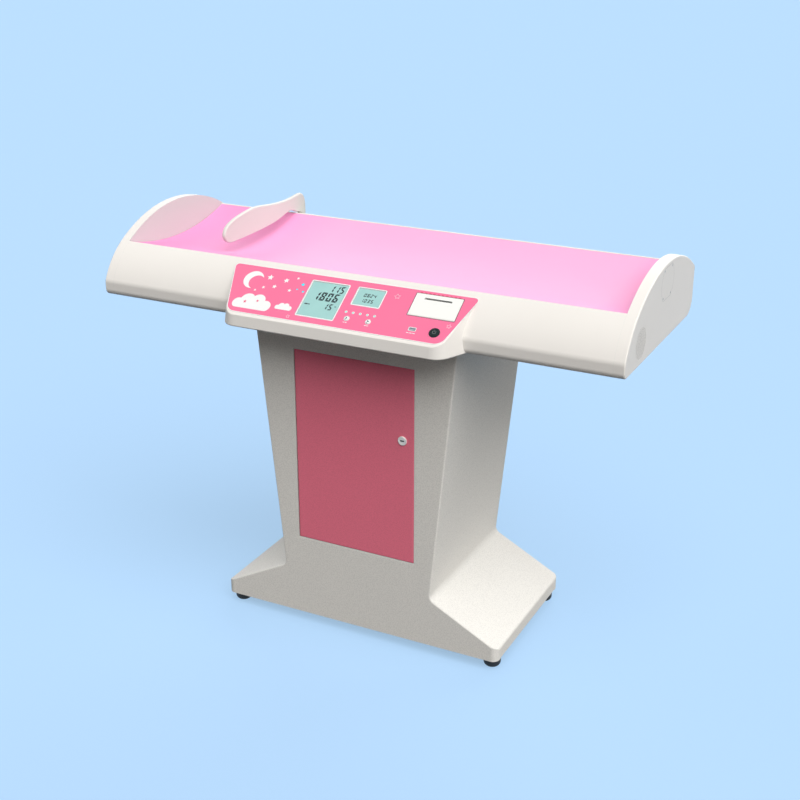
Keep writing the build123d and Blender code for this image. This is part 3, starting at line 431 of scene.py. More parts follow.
def windowLoop(window, outward, radius):
    left, right, low, high = window
    return roundedLoop(boxLoop(left - outward, right + outward, low - outward, high + outward), radius)


# Helpers for pieces

def inMetres(point):
    x, y, z = (*point, 0.0)[:3]
    return (x * mm, y * mm, z * mm)


def linked(name, data):
    item = bpy.data.objects.new(name, data)
    scene.collection.objects.link(item)
    return item


def newPiece(name, mesh, finish, body, place=None):
    # places the mesh itself, so that the object stays at the origin
    if place is not None:
        mesh.transform(place)
    piece = linked(name, mesh)
    if finish is not None:
        mesh.materials.clear()
        mesh.materials.append(finishes[finish])
    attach(piece, body)
    return piece


def meshOf(name, bm):
    mesh = bpy.data.meshes.new(name)
    bm.to_mesh(mesh)
    bm.free()
    return mesh


def slabMesh(name, loops, low, high, bevel=0.0):
    # flat plates with the outlines given, from low to high, with their upper rims eased by the bevel
    bm = bmesh.new()
    for loop in loops:
        face = bm.faces.new([bm.verts.new(inMetres((x, y, low))) for x, y in loop])
        face.normal_update()
        if face.normal.z > 0:
            face.normal_flip()
        grown = bmesh.ops.extrude_face_region(bm, geom=[face])
        top = [part for part in grown["geom"] if isinstance(part, bmesh.types.BMVert)]
        bmesh.ops.translate(bm, verts=top, vec=(0, 0, (high - low) * mm))
    bmesh.ops.recalc_face_normals(bm, faces=bm.faces)
    if bevel:
        flatOn = 1e-6 * mm
        rims = [edge for edge in bm.edges if all(abs(end.co.z - high * mm) < flatOn for end in edge.verts)
                and len(edge.link_faces) == 2 and any(abs(face.normal.z) < 0.5 for face in edge.link_faces)]
        bmesh.ops.bevel(bm, geom=rims, offset=bevel * mm, segments=2, affect="EDGES", profile=0.5)
    return meshOf(name, bm)


def slab(name, loops, low, high, finish, body, slotName, place, bevel=0.0):
    return newPiece(name, slabMesh(name, loops, low, high, bevel), finish, body, place)


def loftMesh(name, rings, smooth=False):
    # a closed body through rings of points in metres, with a flat cap on the first and the last
    bm = bmesh.new()
    chain = [[bm.verts.new(point) for point in ring] for ring in rings]
    for ring, following in zip(chain, chain[1:]):
        for i in range(len(ring)):
            j = (i + 1) % len(ring)
            bm.faces.new((ring[i], ring[j], following[j], following[i])).smooth = smooth
    bm.faces.new(chain[0])
    bm.faces.new(chain[-1])
    bmesh.ops.recalc_face_normals(bm, faces=bm.faces)
    return meshOf(name, bm)


def settledMesh(host):
    # the plain mesh that a host's modifier gives; the host goes
    bpy.context.view_layer.update()
    mesh = bpy.data.meshes.new_from_object(host.evaluated_get(bpy.context.evaluated_depsgraph_get()))
    host.modifiers.clear()
    bpy.data.objects.remove(host)
    return mesh


patterns = []


def hidden(mesh):
    # a pattern that a tree copies, taken away at the end
    pattern = linked(mesh.name, mesh)
    pattern.hide_render = True
    patterns.append(pattern)
    return pattern


def treeOf(name, sockets):
    # an empty node tree with named inputs, and a desk to fill it
    tree = bpy.data.node_groups.new(name, "GeometryNodeTree")
    tree.interface.new_socket("Geometry", in_out="INPUT", socket_type="NodeSocketGeometry")
    for label, kind, value in sockets:
        socket = tree.interface.new_socket(label, in_out="INPUT", socket_type="NodeSocket" + kind)
        if value is not None:
            socket.default_value = value
    tree.interface.new_socket("Geometry", in_out="OUTPUT", socket_type="NodeSocketGeometry")
    desk = Desk(tree, "GeometryNode")
    inlets = {wire.socket.name: wire for wire in desk.outlets(desk.add("NodeGroupInput")) if wire.socket.name}
    return desk, inlets


def closeTree(desk, geometry, finish):
    # every tree ends in Realize Instances and Set Material
    real = desk.add("RealizeInstances", {}, {"Geometry": geometry})
    dressed = desk.add("SetMaterial", {}, {"Geometry": real, "Material": finish})
    desk.add("NodeGroupOutput", {}, {0: dressed})
    return desk.tree


def joined(desk, *parts):
    # one geometry from several
    whole = desk.add("JoinGeometry")
    for part in reversed(parts):
        desk.plug(whole.socket.node.inputs[0], part)
    return whole


def grow(name, hostMesh, tree, values):
    # runs a tree on a host mesh and keeps the result as a plain mesh
    host = linked(name + "Host", hostMesh)
    modifier = host.modifiers.new("grow", "NODES")
    modifier.node_group = tree
    for item in tree.interface.items_tree:
        if item.item_type == "SOCKET" and item.in_out == "INPUT" and item.name in values:
            modifier[item.identifier] = values[item.name]
    mesh = settledMesh(host)
    mesh.name = name
    return mesh


def stripTree():
    # a flat strip of one width and height along every closed path of the host
    desk, inlets = treeOf("stripAlong", [("Width", "Float", 0.002), ("Height", "Float", 0.0002),
                                         ("Finish", "Material", None)])
    path = desk.add("MeshToCurve", {}, {"Mesh": inlets["Geometry"]})
    path = desk.add("SetCurveNormal", {"mode": "Z_UP"}, {"Curve": path})
    section = desk.add("CurvePrimitiveQuadrilateral", {"mode": "RECTANGLE"},
                       {"Width": inlets["Width"], "Height": inlets["Height"]})
    strip = desk.add("CurveToMesh", {}, {"Curve": path, "Profile Curve": section})
    return closeTree(desk, strip, inlets["Finish"])


def scatterTree():
    # one copy of a pattern at every point of the host, turned about Z by its turn attribute
    desk, inlets = treeOf("copiesAtPoints", [("Pattern", "Object", None), ("Size", "Float", 1.0),
                                             ("Finish", "Material", None)])
    pattern = desk.add("ObjectInfo", {"transform_space": "ORIGINAL"}, {"Object": inlets["Pattern"]}, out=4)
    turn = desk.add("InputNamedAttribute", {"data_type": "FLOAT"}, {"Name": "turn"})
    rotation = desk.add("FunctionNodeEulerToRotation", {}, {"Euler": desk.vector(Z=turn)})
    scale = desk.vector(X=inlets["Size"], Y=inlets["Size"], Z=inlets["Size"])
    placed = desk.add("InstanceOnPoints", {}, {"Points": inlets["Geometry"], "Instance": pattern,
                                               "Rotation": rotation, "Scale": scale})
    return closeTree(desk, placed, inlets["Finish"])


stripAlong = stripTree()
copiesAtPoints = scatterTree()


def pathMesh(loops):
    # one flat closed chain of edges for each loop
    points, edges = [], []
    for loop in loops:
        start = len(points)
        points += [inMetres(point) for point in loop]
        edges += [(start + i, start + (i + 1) % len(loop)) for i in range(len(loop))]
    mesh = bpy.data.meshes.new("path")
    mesh.from_pydata(points, edges, [])
    return mesh


def pointsMesh(points, turns=None):
    # loose points, each with the turn of the copy that stands on it
    mesh = bpy.data.meshes.new("points")
    mesh.from_pydata([inMetres(point) for point in points], [], [])
    attribute = mesh.attributes.new("turn", "FLOAT", "POINT")
    attribute.data.foreach_set("value", turns or [0.0] * len(points))
    return mesh


def strips(name, loops, width, height, finish, body, place):
    mesh = grow(name, pathMesh(loops), stripAlong,
                {"Width": width * mm, "Height": height * mm, "Finish": finishes[finish]})
    return newPiece(name, mesh, None, body, place)


def copies(name, points, turns, pattern, finish, body, place, size=1.0):
    mesh = grow(name, pointsMesh(points, turns), copiesAtPoints,
                {"Pattern": pattern, "Size": size, "Finish": finishes[finish]})
    return newPiece(name, mesh, None, body, place)


# The label's printed border and the frames of its windows, each given as left, right, low and high

label = {"footHalf": 246.3, "footRow": 3.5, "headRow": 130, "spread": 0.31, "slant": 1.05, "footRound": 24,
         "headRound": 9, "film": 0.4, "ink": 0.12, "borderIn": 0.75, "borderWidth": 1.7, "borderFoot": 0.01,
         "frameOut": 1.7, "frameWidth": 2.6, "frameRound": 2.2, "mainWindow": (-85.4, -1.4, 22, 112),
         "smallWindow": (22.8, 82.8, 69.4, 111.8), "lidWindow": (150, 252, 64.2, 120.5)}


def labelLoop(inset):
    # the label narrows by its spread towards the foot
    footHalf, footRow, headRow = label["footHalf"], label["footRow"], label["headRow"]
    headHalf = footHalf + (headRow - footRow) * label["spread"]
    foot, head = footHalf - inset, headHalf - inset * label["slant"]
    corners = [(-foot, footRow + inset), (foot, footRow + inset), (head, headRow - inset), (-head, headRow - inset)]
    footRound, headRound = label["footRound"] - inset, label["headRound"] - inset
    return roundedLoop(corners, [footRound, footRound, headRound, headRound], 10)


filmTop, inkTop = label["film"], label["film"] + label["ink"]
onInk = slopePlace @ shift(0, 0, (filmTop + inkTop) / 2)


def printedLines(name, loops, width, finish="printWhite"):
    strips(name, loops, width, label["ink"], finish, "stand", onInk)


def printedFields(name, loops, finish="printWhite", slotName="white_plastic", level=filmTop):
    slab(name, loops, level, level + label["ink"], finish, "stand", slotName, slopePlace)


borderHeight = inkTop - label["borderFoot"]
strips("labelBorder", [labelLoop(label["borderIn"])], label["borderWidth"], borderHeight, "printWhite", "stand",
       slopePlace @ shift(0, 0, label["borderFoot"] + borderHeight / 2))
frames = [windowLoop(label[window], label["frameOut"], label["frameRound"]) for window in ("mainWindow", "smallWindow")]
printedLines("windowFrames", frames, label["frameWidth"])
print("label border and window frames done")


# Figures on the two displays: text, right edge, foot, height, width and stroke of each row

figures = {"rows": [("115", -8.0, 90.0, 18.0, 9.0, 3.2), ("1806", -12.5, 65.5, 22.0, 11.4, 3.9),
                    ("15", -16.5, 44.5, 16.0, 8.2, 2.9), ("0824", 67.0, 91.5, 8.8, 5.6, 1.9),
                    ("1035", 65.5, 77.5, 8.8, 5.6, 1.9)],
           "signs": [(-80, -72.5, 51.2, 54.0), (-71.3, -70, 51.2, 54.0), (-69, -67.6, 51.2, 54.0),
                     (-10.6, -9.4, 54.0, 56.6), (-8.6, -7.4, 54.0, 56.6)],
           "lean": 0.13, "gap": 0.3, "pitch": 1.32, "glass": -0.4, "thick": 0.06}
segmentsOf = {"0": "abcdef", "1": "bc", "2": "abged", "3": "abgcd", "4": "fgbc", "5": "afgcd", "6": "afgedc",
              "7": "abc", "8": "abcdefg", "9": "abfgcd"}


def segmentLoops(digit, width, height, stroke, gap):
    # bars of one seven-segment figure with slanted ends, its corner at the origin
    half, near, inLeft, inRight = height / 2, stroke / 2, stroke + gap, width - stroke - gap
    over = half + near + gap
    top = [(gap, height), (width - gap, height), (inRight, height - stroke), (inLeft, height - stroke)]
    side = [(0, height - gap), (stroke, height - inLeft), (stroke, over), (near, half + gap), (0, over)]
    middle = [(near + gap, half), (inLeft, half + near), (inRight, half + near), (width - near - gap, half),
              (inRight, half - near), (inLeft, half - near)]

    def mirrored(loop, across, up):
        return [(width - x if across else x, height - y if up else y) for x, y in loop]

    bars = {"a": top, "b": mirrored(side, True, False), "c": mirrored(side, True, True),
            "d": mirrored(top, False, True), "e": mirrored(side, False, True), "f": side, "g": middle}
    return [bars[key] for key in segmentsOf[digit]]


marks = []
for text, right, foot, height, width, stroke in figures["rows"]:
    for place, digit in enumerate(reversed(text)):
        left = right - width - place * width * figures["pitch"]
        for bar in segmentLoops(digit, width, height, stroke, figures["gap"]):
            marks.append([(left + x + y * figures["lean"], foot + y) for x, y in bar])
marks += [boxLoop(*sign) for sign in figures["signs"]]
slab("displayFigures", marks, figures["glass"], figures["glass"] + figures["thick"], "lcdInk", "stand",
     "black_plastic", slopePlace)
print("display figures done:", len(marks), "bars")


# Printed decorations: a moon, clouds and stars

def starLoop(x, y, radius, turn):
    # five points, with notches half as far out
    corners = [(radius if i % 2 == 0 else radius / 2, pi / 2 + turn + pi * i / 5) for i in range(10)]
    return [(x + reach * cos(angle), y + reach * sin(angle)) for reach, angle in corners]


def crescentLoop(x, y, radius, bite, offset, turn, steps=26):
    # outer arc forward, then back along the bite; both bite and offset are shares of the radius
    innerRadius, offset = radius * bite, radius * offset
    cut = (radius ** 2 - innerRadius ** 2 + offset ** 2) / (2 * offset)
    tip = math.acos(cut / radius)
    innerTip = math.atan2(radius * sin(tip), cut - offset)
    loop = arc(radius, tip, 2 * pi - tip, steps) + arc(innerRadius, 2 * pi - innerTip, innerTip, steps, offset)[1:-1]
    return [(x + a * cos(turn) - b * sin(turn), y + a * sin(turn) + b * cos(turn)) for a, b in loop]


def cloudLoop(x, y, width):
    # the outline of four puffs over a flat foot, seen from the middle of the foot, in shares of the width
    puffs = [(-0.36, 0.13, 0.14), (-0.15, 0.24, 0.185), (0.12, 0.27, 0.17), (0.34, 0.14, 0.15)]
    footEnd, dip, rays, apart = 0.36, 0.02, 90, 0.004
    points = [(-footEnd, 0.0)]
    for i in range(rays + 1):
        angle = pi * (1 + dip) - pi * (1 + 2 * dip) * i / rays
        away = Vector((cos(angle), sin(angle)))
        reach = 0.0
        for puffX, puffY, radius in puffs:
            along = puffX * away.x + puffY * away.y
            room = radius ** 2 - (puffX ** 2 + puffY ** 2 - along ** 2)
            if room > 0:
                reach = max(reach, along + math.sqrt(room))
        points.append((away.x * reach, max(0.0, away.y * reach)))
    points.append((footEnd, 0.0))
    loop = []
    for across, up in points:
        spot = (x + across * width, y + up * width)
        if not loop or math.dist(spot, loop[-1]) > width * apart:
            loop.append(spot)
    return loop


decor = {"clouds": [(-196, 16, 92), (-121, 27, 40)],
         "moon": {"x": -222, "y": 92, "radius": 23, "bite": 0.78, "offset": 0.48, "turn": -0.5},
         # x, y, radius and turn of each star; the rose ones lie over the clouds
         "stars": [(-186, 104, 7.5, 0.1), (-166, 82, 5.5, -0.25), (-146, 102, 6.5, 0.3), (-128, 78, 4.5, 0.0),
                   (-190, 76, 4.0, 0.4), (-122, 112, 3.6, 0.2), (-206, 66, 3.2, -0.2)],
         "cyan": [(-104, 98, 5.0, 0.2), (-96, 80, 3.6, -0.3), (-112, 84, 2.8, 0.5)],
         "rose": [(-214, 33, 4.2, 0.1), (-186, 39, 3.4, 0.3)],
         "outlined": [(112, 104, 6.8, 0.2), (246, 51, 5.4, -0.2), (-101, 13, 4.4, 0.3)], "outline": 1.3}
printedFields("decorWhite", [cloudLoop(*cloud) for cloud in decor["clouds"]])
printedFields("decorMoon", [crescentLoop(**decor["moon"])])
printedFields("decorStars", [starLoop(*star) for star in decor["stars"]])
printedFields("decorCyan", [starLoop(*star) for star in decor["cyan"]], "printCyan")
printedFields("decorRose", [starLoop(*star) for star in decor["rose"]], "printRose", "label_pink", inkTop)
printedLines("decorOutlines", [starLoop(*star) for star in decor["outlined"]], decor["outline"], "printBlush")
print("printed decorations done")


# Rings and marks of the keys and lamps, and the dashes that stand for captions

keys = {"middles": (28.1, 76.6), "row": 31.1, "ring": 5.75, "ringWidth": 1.1, "ringSides": 36, "face": 1.9,
        "thick": 0.08, "arrow": [(-1.4, -3.3), (2.5, 0.0), (-1.4, 3.3), (-2.6, 1.9), (-0.3, 0.0), (-2.6, -1.9)],
        "dashes": [(-4.4, -0.6), (0.6, 4.4)], "dashRows": (20.6, 22.2)}
lamps = {"count": 5, "start": 19.7, "pitch": 16.2, "row": 47.4, "ring": 2.5, "ringWidth": 1.2, "ringSides": 24}
usb = {"x": 174.9, "row": 31.0, "width": 14.0, "height": 6.6, "frameOut": 0.9, "frameRound": 1.4, "frameWidth": 1.1,
       "frameHeight": 0.5, "dashes": [(-9.5, -4.6), (-3.4, 2.2), (3.4, 9.5)], "dashRows": (20.6, 22.0),
       "contacts": 4, "contactPitch": 2.3, "contactWidth": 1.0, "contactThick": 0.25, "contactLong": 7.0,
       "contactRow": -0.05, "contactDepth": -2.2}
keyRings = [disc(keys["ring"], keys["ringSides"], middle, keys["row"]) for middle in keys["middles"]]
printedLines("keyRings", keyRings, keys["ringWidth"])
lampRings = [disc(lamps["ring"], lamps["ringSides"], lamps["start"] + i * lamps["pitch"], lamps["row"])
             for i in range(lamps["count"])]
printedLines("lampRings", lampRings, lamps["ringWidth"])
for name, middle, body in zip(("keyMarkLeft", "keyMarkRight"), keys["middles"], ("left_key", "right_key")):
    arrow = [(middle + x, keys["row"] + y) for x, y in keys["arrow"]]
    slab(name, [arrow], keys["face"], keys["face"] + keys["thick"], "markTeal", body, "display", slopePlace)
captions = [boxLoop(middle + left, middle + right, *keys["dashRows"])
            for middle in keys["middles"] for left, right in keys["dashes"]]
captions += [boxLoop(usb["x"] + left, usb["x"] + right, *usb["dashRows"]) for left, right in usb["dashes"]]
printedFields("captionDashes", captions)
print("key and lamp print done")


# Power mark on its button: an open ring and a bar

power = {"x": 222.9, "row": 30.7, "radius": 3.6, "stroke": 0.75, "opening": 0.6, "barRows": (31.7, 35.5),
         "steps": 28, "face": 2.5, "thick": 0.08}
halfStroke = power["stroke"] / 2
ends = (pi / 2 + power["opening"], pi / 2 + 2 * pi - power["opening"])
outer, inner = [arc(power["radius"] + out, *ends, power["steps"], power["x"], power["row"])
                for out in (halfStroke, -halfStroke)]
powerMark = [outer + inner[::-1], boxLoop(power["x"] - halfStroke, power["x"] + halfStroke, *power["barRows"])]
slab("powerMark", powerMark, power["face"], power["face"] + power["thick"], "markGrey", "power", "white_plastic",
     slopePlace)


# USB bezel and contacts

usbWindow = (usb["x"] - usb["width"] / 2, usb["x"] + usb["width"] / 2,
             usb["row"] - usb["height"] / 2, usb["row"] + usb["height"] / 2)
strips("usbFrame", [windowLoop(usbWindow, usb["frameOut"], usb["frameRound"])], usb["frameWidth"],
       usb["frameHeight"], "keyWhite", "stand", slopePlace @ shift(0, 0, usb["frameHeight"]))
contactLoop = boxLoop(-usb["contactWidth"] / 2, usb["contactWidth"] / 2, 0, usb["contactThick"])
contactShape = hidden(slabMesh("contactShape", [contactLoop], -usb["contactLong"], 0))
firstContact = usb["x"] - (usb["contacts"] - 1) / 2 * usb["contactPitch"]
contacts = [(firstContact + i * usb["contactPitch"], usb["row"] + usb["contactRow"], usb["contactDepth"])
            for i in range(usb["contacts"])]
copies("usbContacts", contacts, None, contactShape, "goldContact", "stand", slopePlace)
print("power mark and USB done")


# Printer lid: dark joint round it, painted shade as dark edges in its slot, and grip ridges above it

lid = {"jointIn": 0.35, "jointWidth": 1.1, "round": 1.4, "slot": (171.8, 230.2, 107.8, 110.2), "slotEdge": 0.8,
       "slotLap": 0.1, "slotRound": 0.4, "slotHeight": 0.3, "proud": 1.0, "ridgePitch": 9.3, "ridgeFoot": 2.8,
       "ridgeHead": 2.128, "ridgeDepth": 2.2, "ridgeHeight": 0.5, "ridgeEase": 0.15, "ridgeGap": 0.4}
left, right, foot, head = label["lidWindow"]
printedLines("lidJoint", [windowLoop(label["lidWindow"], lid["jointIn"] + lid["jointWidth"] / 2, lid["round"])],
             lid["jointWidth"], "seamShade")
# painted shade: dark strips inside the paper slot
strips("slotEdges", [windowLoop(lid["slot"], lid["slotEdge"] / 2 - lid["slotLap"], lid["slotRound"])],
       lid["slotEdge"], lid["slotHeight"], "darkSlot", "lid", slopePlace @ shift(0, 0, lid["proud"]))
ridgeLoop = [(-lid["ridgeFoot"], 0), (lid["ridgeFoot"], 0), (lid["ridgeHead"], lid["ridgeDepth"]),
             (-lid["ridgeHead"], lid["ridgeDepth"])]
ridgeShape = hidden(slabMesh("ridgeShape", [ridgeLoop], 0, lid["ridgeHeight"], lid["ridgeEase"]))
count = int((right - left) / lid["ridgePitch"])
firstRidge = (left + right) / 2 - (count - 1) / 2 * lid["ridgePitch"]
ridges = [(firstRidge + i * lid["ridgePitch"], head + lid["jointWidth"] + lid["ridgeGap"], filmTop)
          for i in range(count)]
copies("lidRidges", ridges, None, ridgeShape, "printRose", "stand", slopePlace)
print("printer lid joint, slot edges and ridges done:", count)


# Painted highlight in the gap round the door: a pale strip standing for the lit edge of the door; low and high are
# heights out of the panel

# seal is the width of the pale strip that paints the highlight
door = {"half": 143.4, "bottom": 220, "top": 670, "gap": 1.6, "front": -163, "seal": 1.1, "highlightHeights": (-6.6, -0.6),
        "lip": (0.1, 0.6), "lipHeights": (-0.9, -0.15)}
thin, wide = (door["gap"] - door["seal"]) / 2, (door["gap"] + door["seal"]) / 2
hingeEdge = -door["half"] - door["gap"]
left, right, foot, head = hingeEdge + wide, door["half"], door["bottom"], door["top"]
highlightLoop = [(left, foot - wide), (right + wide, foot - wide), (right + wide, head + wide), (left, head + wide),
            (left, head + thin), (right + thin, head + thin), (right + thin, foot - thin), (left, foot - thin)]
# the door's corner swings through the gap at its hinge, so there the painted highlight is only a thin lip on the frame
lipLoop = boxLoop(hingeEdge + door["lip"][0], hingeEdge + door["lip"][1], foot - wide, head + wide)
onDoor = shift(0, door["front"], 0) @ Matrix.Rotation(pi / 2, 4, "X")
for name, loop, heights in (("doorSeal", highlightLoop, door["highlightHeights"]), ("hingeLip", lipLoop, door["lipHeights"])):
    slab(name, [loop], *heights, "sealGrey", "stand", "white_plastic", onDoor)


# Ring of the lock, and painted shade as a dark floor in its key slot

lock = {"x": 116.5, "z": 506.5, "face": -165.5, "ring": 8.7, "ringWidth": 1.5, "ringHeight": 0.7, "ringSides": 40,
        "slot": (112.0, 121.0, 505.0, 508.0), "slotHeights": (-1.2, -0.8)}
onLock = shift(0, lock["face"], 0) @ Matrix.Rotation(pi / 2, 4, "X")
strips("lockRing", [disc(lock["ring"], lock["ringSides"], lock["x"], lock["z"])], lock["ringWidth"],
       lock["ringHeight"], "lockNickel", "door", onLock)
slab("keySlotFloor", [boxLoop(*lock["slot"])], *lock["slotHeights"], "darkSlot", "lock", "plated", onLock)
print("door seal and lock done")


# Speaker grille: a fine staggered perforation, in place of the CAD plate

speaker = {"y": -117, "z": 786, "face": 600.0, "radius": 36, "pitch": 3.4, "hole": 1.05, "rim": 3.0, "thick": 0.3,
           "cloth": 33.0, "clothHeights": (-1.4, -0.5), "clothEase": 0.2, "clothSides": 64,
           "holeSides": 10, "plateSides": 80, "weld": 0.01}


def grilleTree():
    # round plate with a bore at every point of the host
    desk, inlets = treeOf("perforatedPlate", [("Radius", "Float", 0.036), ("Bore", "Float", 0.001),
                                              ("Thick", "Float", 0.0015), ("Finish", "Material", None)])
    bore = desk.add("CurvePrimitiveCircle", {"mode": "RADIUS"},
                    {"Resolution": speaker["holeSides"], "Radius": inlets["Bore"]})
    bores = desk.add("InstanceOnPoints", {}, {"Points": inlets["Geometry"], "Instance": bore})
    edge = desk.add("CurvePrimitiveCircle", {"mode": "RADIUS"},
                    {"Resolution": speaker["plateSides"], "Radius": inlets["Radius"]})
    outlines = desk.add("RealizeInstances", {}, {"Geometry": joined(desk, bores, edge)})
    flat = desk.add("FillCurve", {}, {"Curve": outlines})
    down = desk.vector(Z=0.0 - inlets["Thick"])
    back = desk.add("Transform", {}, {"Geometry": flat, "Translation": down})
    body = desk.add("ExtrudeMesh", {"mode": "FACES"},
                    {"Mesh": back, "Offset Scale": inlets["Thick"], "Individual": False})
    closed = joined(desk, body, desk.add("FlipFaces", {}, {"Mesh": back}))
    merged = desk.add("MergeByDistance", {}, {"Geometry": closed, "Distance": speaker["weld"] * mm})
    return closeTree(desk, merged, inlets["Finish"])


spots = []
reach = int(speaker["radius"] / speaker["pitch"]) + 4
for row in range(-reach, reach + 1):
    for column in range(-reach, reach + 1):
        across = (column + (0.5 if row % 2 else 0.0)) * speaker["pitch"]
        up = row * speaker["pitch"] * math.sqrt(3) / 2
        if math.hypot(across, up) < speaker["radius"] - speaker["rim"] - speaker["hole"]:
            spots.append((across, up))
toCap = Matrix.Rotation(pi / 2, 4, "Y") @ Matrix.Rotation(pi / 2, 4, "Z")  # x becomes y, y becomes z, z becomes x
onGrille = shift(speaker["face"], speaker["y"], speaker["z"]) @ toCap
mesh = grow("grillePlate", pointsMesh(spots), grilleTree(),
            {"Radius": speaker["radius"] * mm, "Bore": speaker["hole"] * mm, "Thick": speaker["thick"] * mm,
             "Finish": finishes["bodyWhite"]})
grille = newPiece("grillePlate", mesh, None, "stand", onGrille)
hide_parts("speaker_grille")
slab("grilleCloth", [disc(speaker["cloth"], speaker["clothSides"])], *speaker["clothHeights"], "blackSatin",
     "stand", "black_plastic", onGrille, speaker["clothEase"])
print("speaker grille done:", len(spots), "holes,", len(mesh.polygons), "faces")


# Pan-head screws of the cap's cover, in place of the CAD ones, and the line round the cover

screw = {"radius": 2.7, "height": 0.66, "dome": 0.92, "sides": 24, "rings": 5, "cross": 0.75, "crossReach": 1.7,
         "crossFloor": 0.35}
cover = {"face": 600, "y": 43.6, "z": 863.6, "screwY": 25.5, "screwZ": 28, "turns": [0.3, 1.1, 0.7, 0.1],
         "radius": 42.15, "halfHeight": 33.15, "lineWidth": 0.9, "lineHeight": 0.1, "steps": 24}


def screwHead(name):
    # domed head with a cross recess
    height, sides = screw["height"], screw["sides"]
    levels = [(screw["radius"], -height)]
    for ring in range(screw["rings"] + 1):
        angle = screw["dome"] * pi / 2 * ring / screw["rings"]
        levels.append((screw["radius"] * cos(angle), height * sin(angle)))
    rings = [[inMetres((x, y, level)) for x, y in disc(radius, sides)] for radius, level in levels]
    head = linked(name + "Head", loftMesh(name, rings))
    long, wide = screw["crossReach"], screw["cross"] / 2
    cross = [(wide, wide), (wide, long), (-wide, long), (-wide, wide), (-long, wide), (-long, -wide), (-wide, -wide),
             (-wide, -long), (wide, -long), (wide, -wide), (long, -wide), (long, wide)]
    cutter = linked(name + "Cross", slabMesh(name + "Cross", [cross], height * screw["crossFloor"], height * 2))
    cut = head.modifiers.new("cross", "BOOLEAN")
    cut.operation, cut.object, cut.solver = "DIFFERENCE", cutter, "EXACT"
    mesh = settledMesh(head)
    bpy.data.objects.remove(cutter)
    return mesh


screwShape = hidden(screwHead("screwShape"))


def screws(name, points, turns, place, body="stand", size=1.0):
    return copies(name, points, turns, screwShape, "zincSteel", body, place, size)


screwSpots = [(cover["y"] + a * cover["screwY"], cover["z"] + b * cover["screwZ"]) for a in (-1, 1) for b in (-1, 1)]
coverScrews = screws("coverScrews", screwSpots, cover["turns"],
                     shift(cover["face"] - screw["height"], 0, 0) @ toCap)
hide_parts("cap_cover_screws")
reach = math.asin(cover["halfHeight"] / cover["radius"])
coverLoop = [point for side in (0, pi)
             for point in arc(cover["radius"], side - reach, side + reach, cover["steps"], cover["y"], cover["z"])]
strips("coverLine", [coverLoop], cover["lineWidth"], cover["lineHeight"], "seamGrey", "stand",
       shift(cover["face"], 0, 0) @ toCap)
print("cover screws and the line round the cover done")


# Bead along the back rim, just behind the tray: its section as y and z

bead = {"half": 576.8, "section": [(224.8, 853.4), (230.8, 851.4), (230.6, 854.4), (229.4, 855.9), (227.4, 856.7),
                                   (225.9, 856.6), (224.8, 855.6)]}
slab("rimBead", [bead["section"]], -bead["half"], bead["half"], "bodyWhite", "stand", "body_white", toCap)
print("rim bead done")


# Footboard with a rounded rim, in place of the CAD one: its side view is taken from the node's flat face

board = {"rim": 3.2, "steps": 5, "apart": 0.9}


def sideOutline(node, apart):
    # the outer loop of the faces that look to the right, as (y, z) in metres, counter-clockwise
    bm = bmesh.new()
    bm.from_mesh(nodes[node].data)
    bmesh.ops.remove_doubles(bm, verts=bm.verts, dist=0.01 * mm)
    flat = {face for face in bm.faces if face.normal.x > 0.999}
    neighbours = {}
    for edge in bm.edges:
        if len([face for face in edge.link_faces if face in flat]) == 1:
            first, second = edge.verts
            neighbours.setdefault(first, []).append(second)
            neighbours.setdefault(second, []).append(first)
    start = max(neighbours, key=lambda corner: corner.co.y)
    chain, here, last = [start], neighbours[start][0], start
    while here != start:
        chain.append(here)
        here, last = [corner for corner in neighbours[here] if corner != last][0], here
    loop = []
    for corner in chain:
        spot = Vector((corner.co.y, corner.co.z))
        if not loop or (spot - loop[-1]).length > apart:
            loop.append(spot)
    bm.free()
    area = sum(a.x * b.y - b.x * a.y for a, b in zip(loop, loop[1:] + loop[:1]))
    return loop if area > 0 else loop[::-1]


def softBoardMesh(name):
    # rings from one face to the other, drawn in by a quarter circle at both rims
    loop = sideOutline("footboard", board["apart"] * mm)
    low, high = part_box("footboard")
    inward = []
    for i in range(len(loop)):
        along = (loop[(i + 1) % len(loop)] - loop[i - 1]).normalized()
        inward.append(Vector((-along.y, along.x)))
    rim, angles = board["rim"] * mm, [pi / 2 * i / board["steps"] for i in range(board["steps"] + 1)]
    quarter = [(rim * (1 - cos(angle)), rim * (1 - sin(angle))) for angle in angles]
    stations = [(low[0] + x, inset) for x, inset in quarter] + [(high[0] - x, inset) for x, inset in reversed(quarter)]
    rings = [[(x, *(point + normal * inset)) for point, normal in zip(loop, inward)] for x, inset in stations]
    return loftMesh(name, rings, smooth=True)


# the footboard's white is painted darker than the body's, for shade
softBoard = newPiece("softFootboard", softBoardMesh("softFootboard"), "boardWhite", "footboard_slide")
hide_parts("footboard")
print("footboard done:", len(softBoard.data.polygons), "faces")


# Back plate of the carriage, with eased edges and two screws

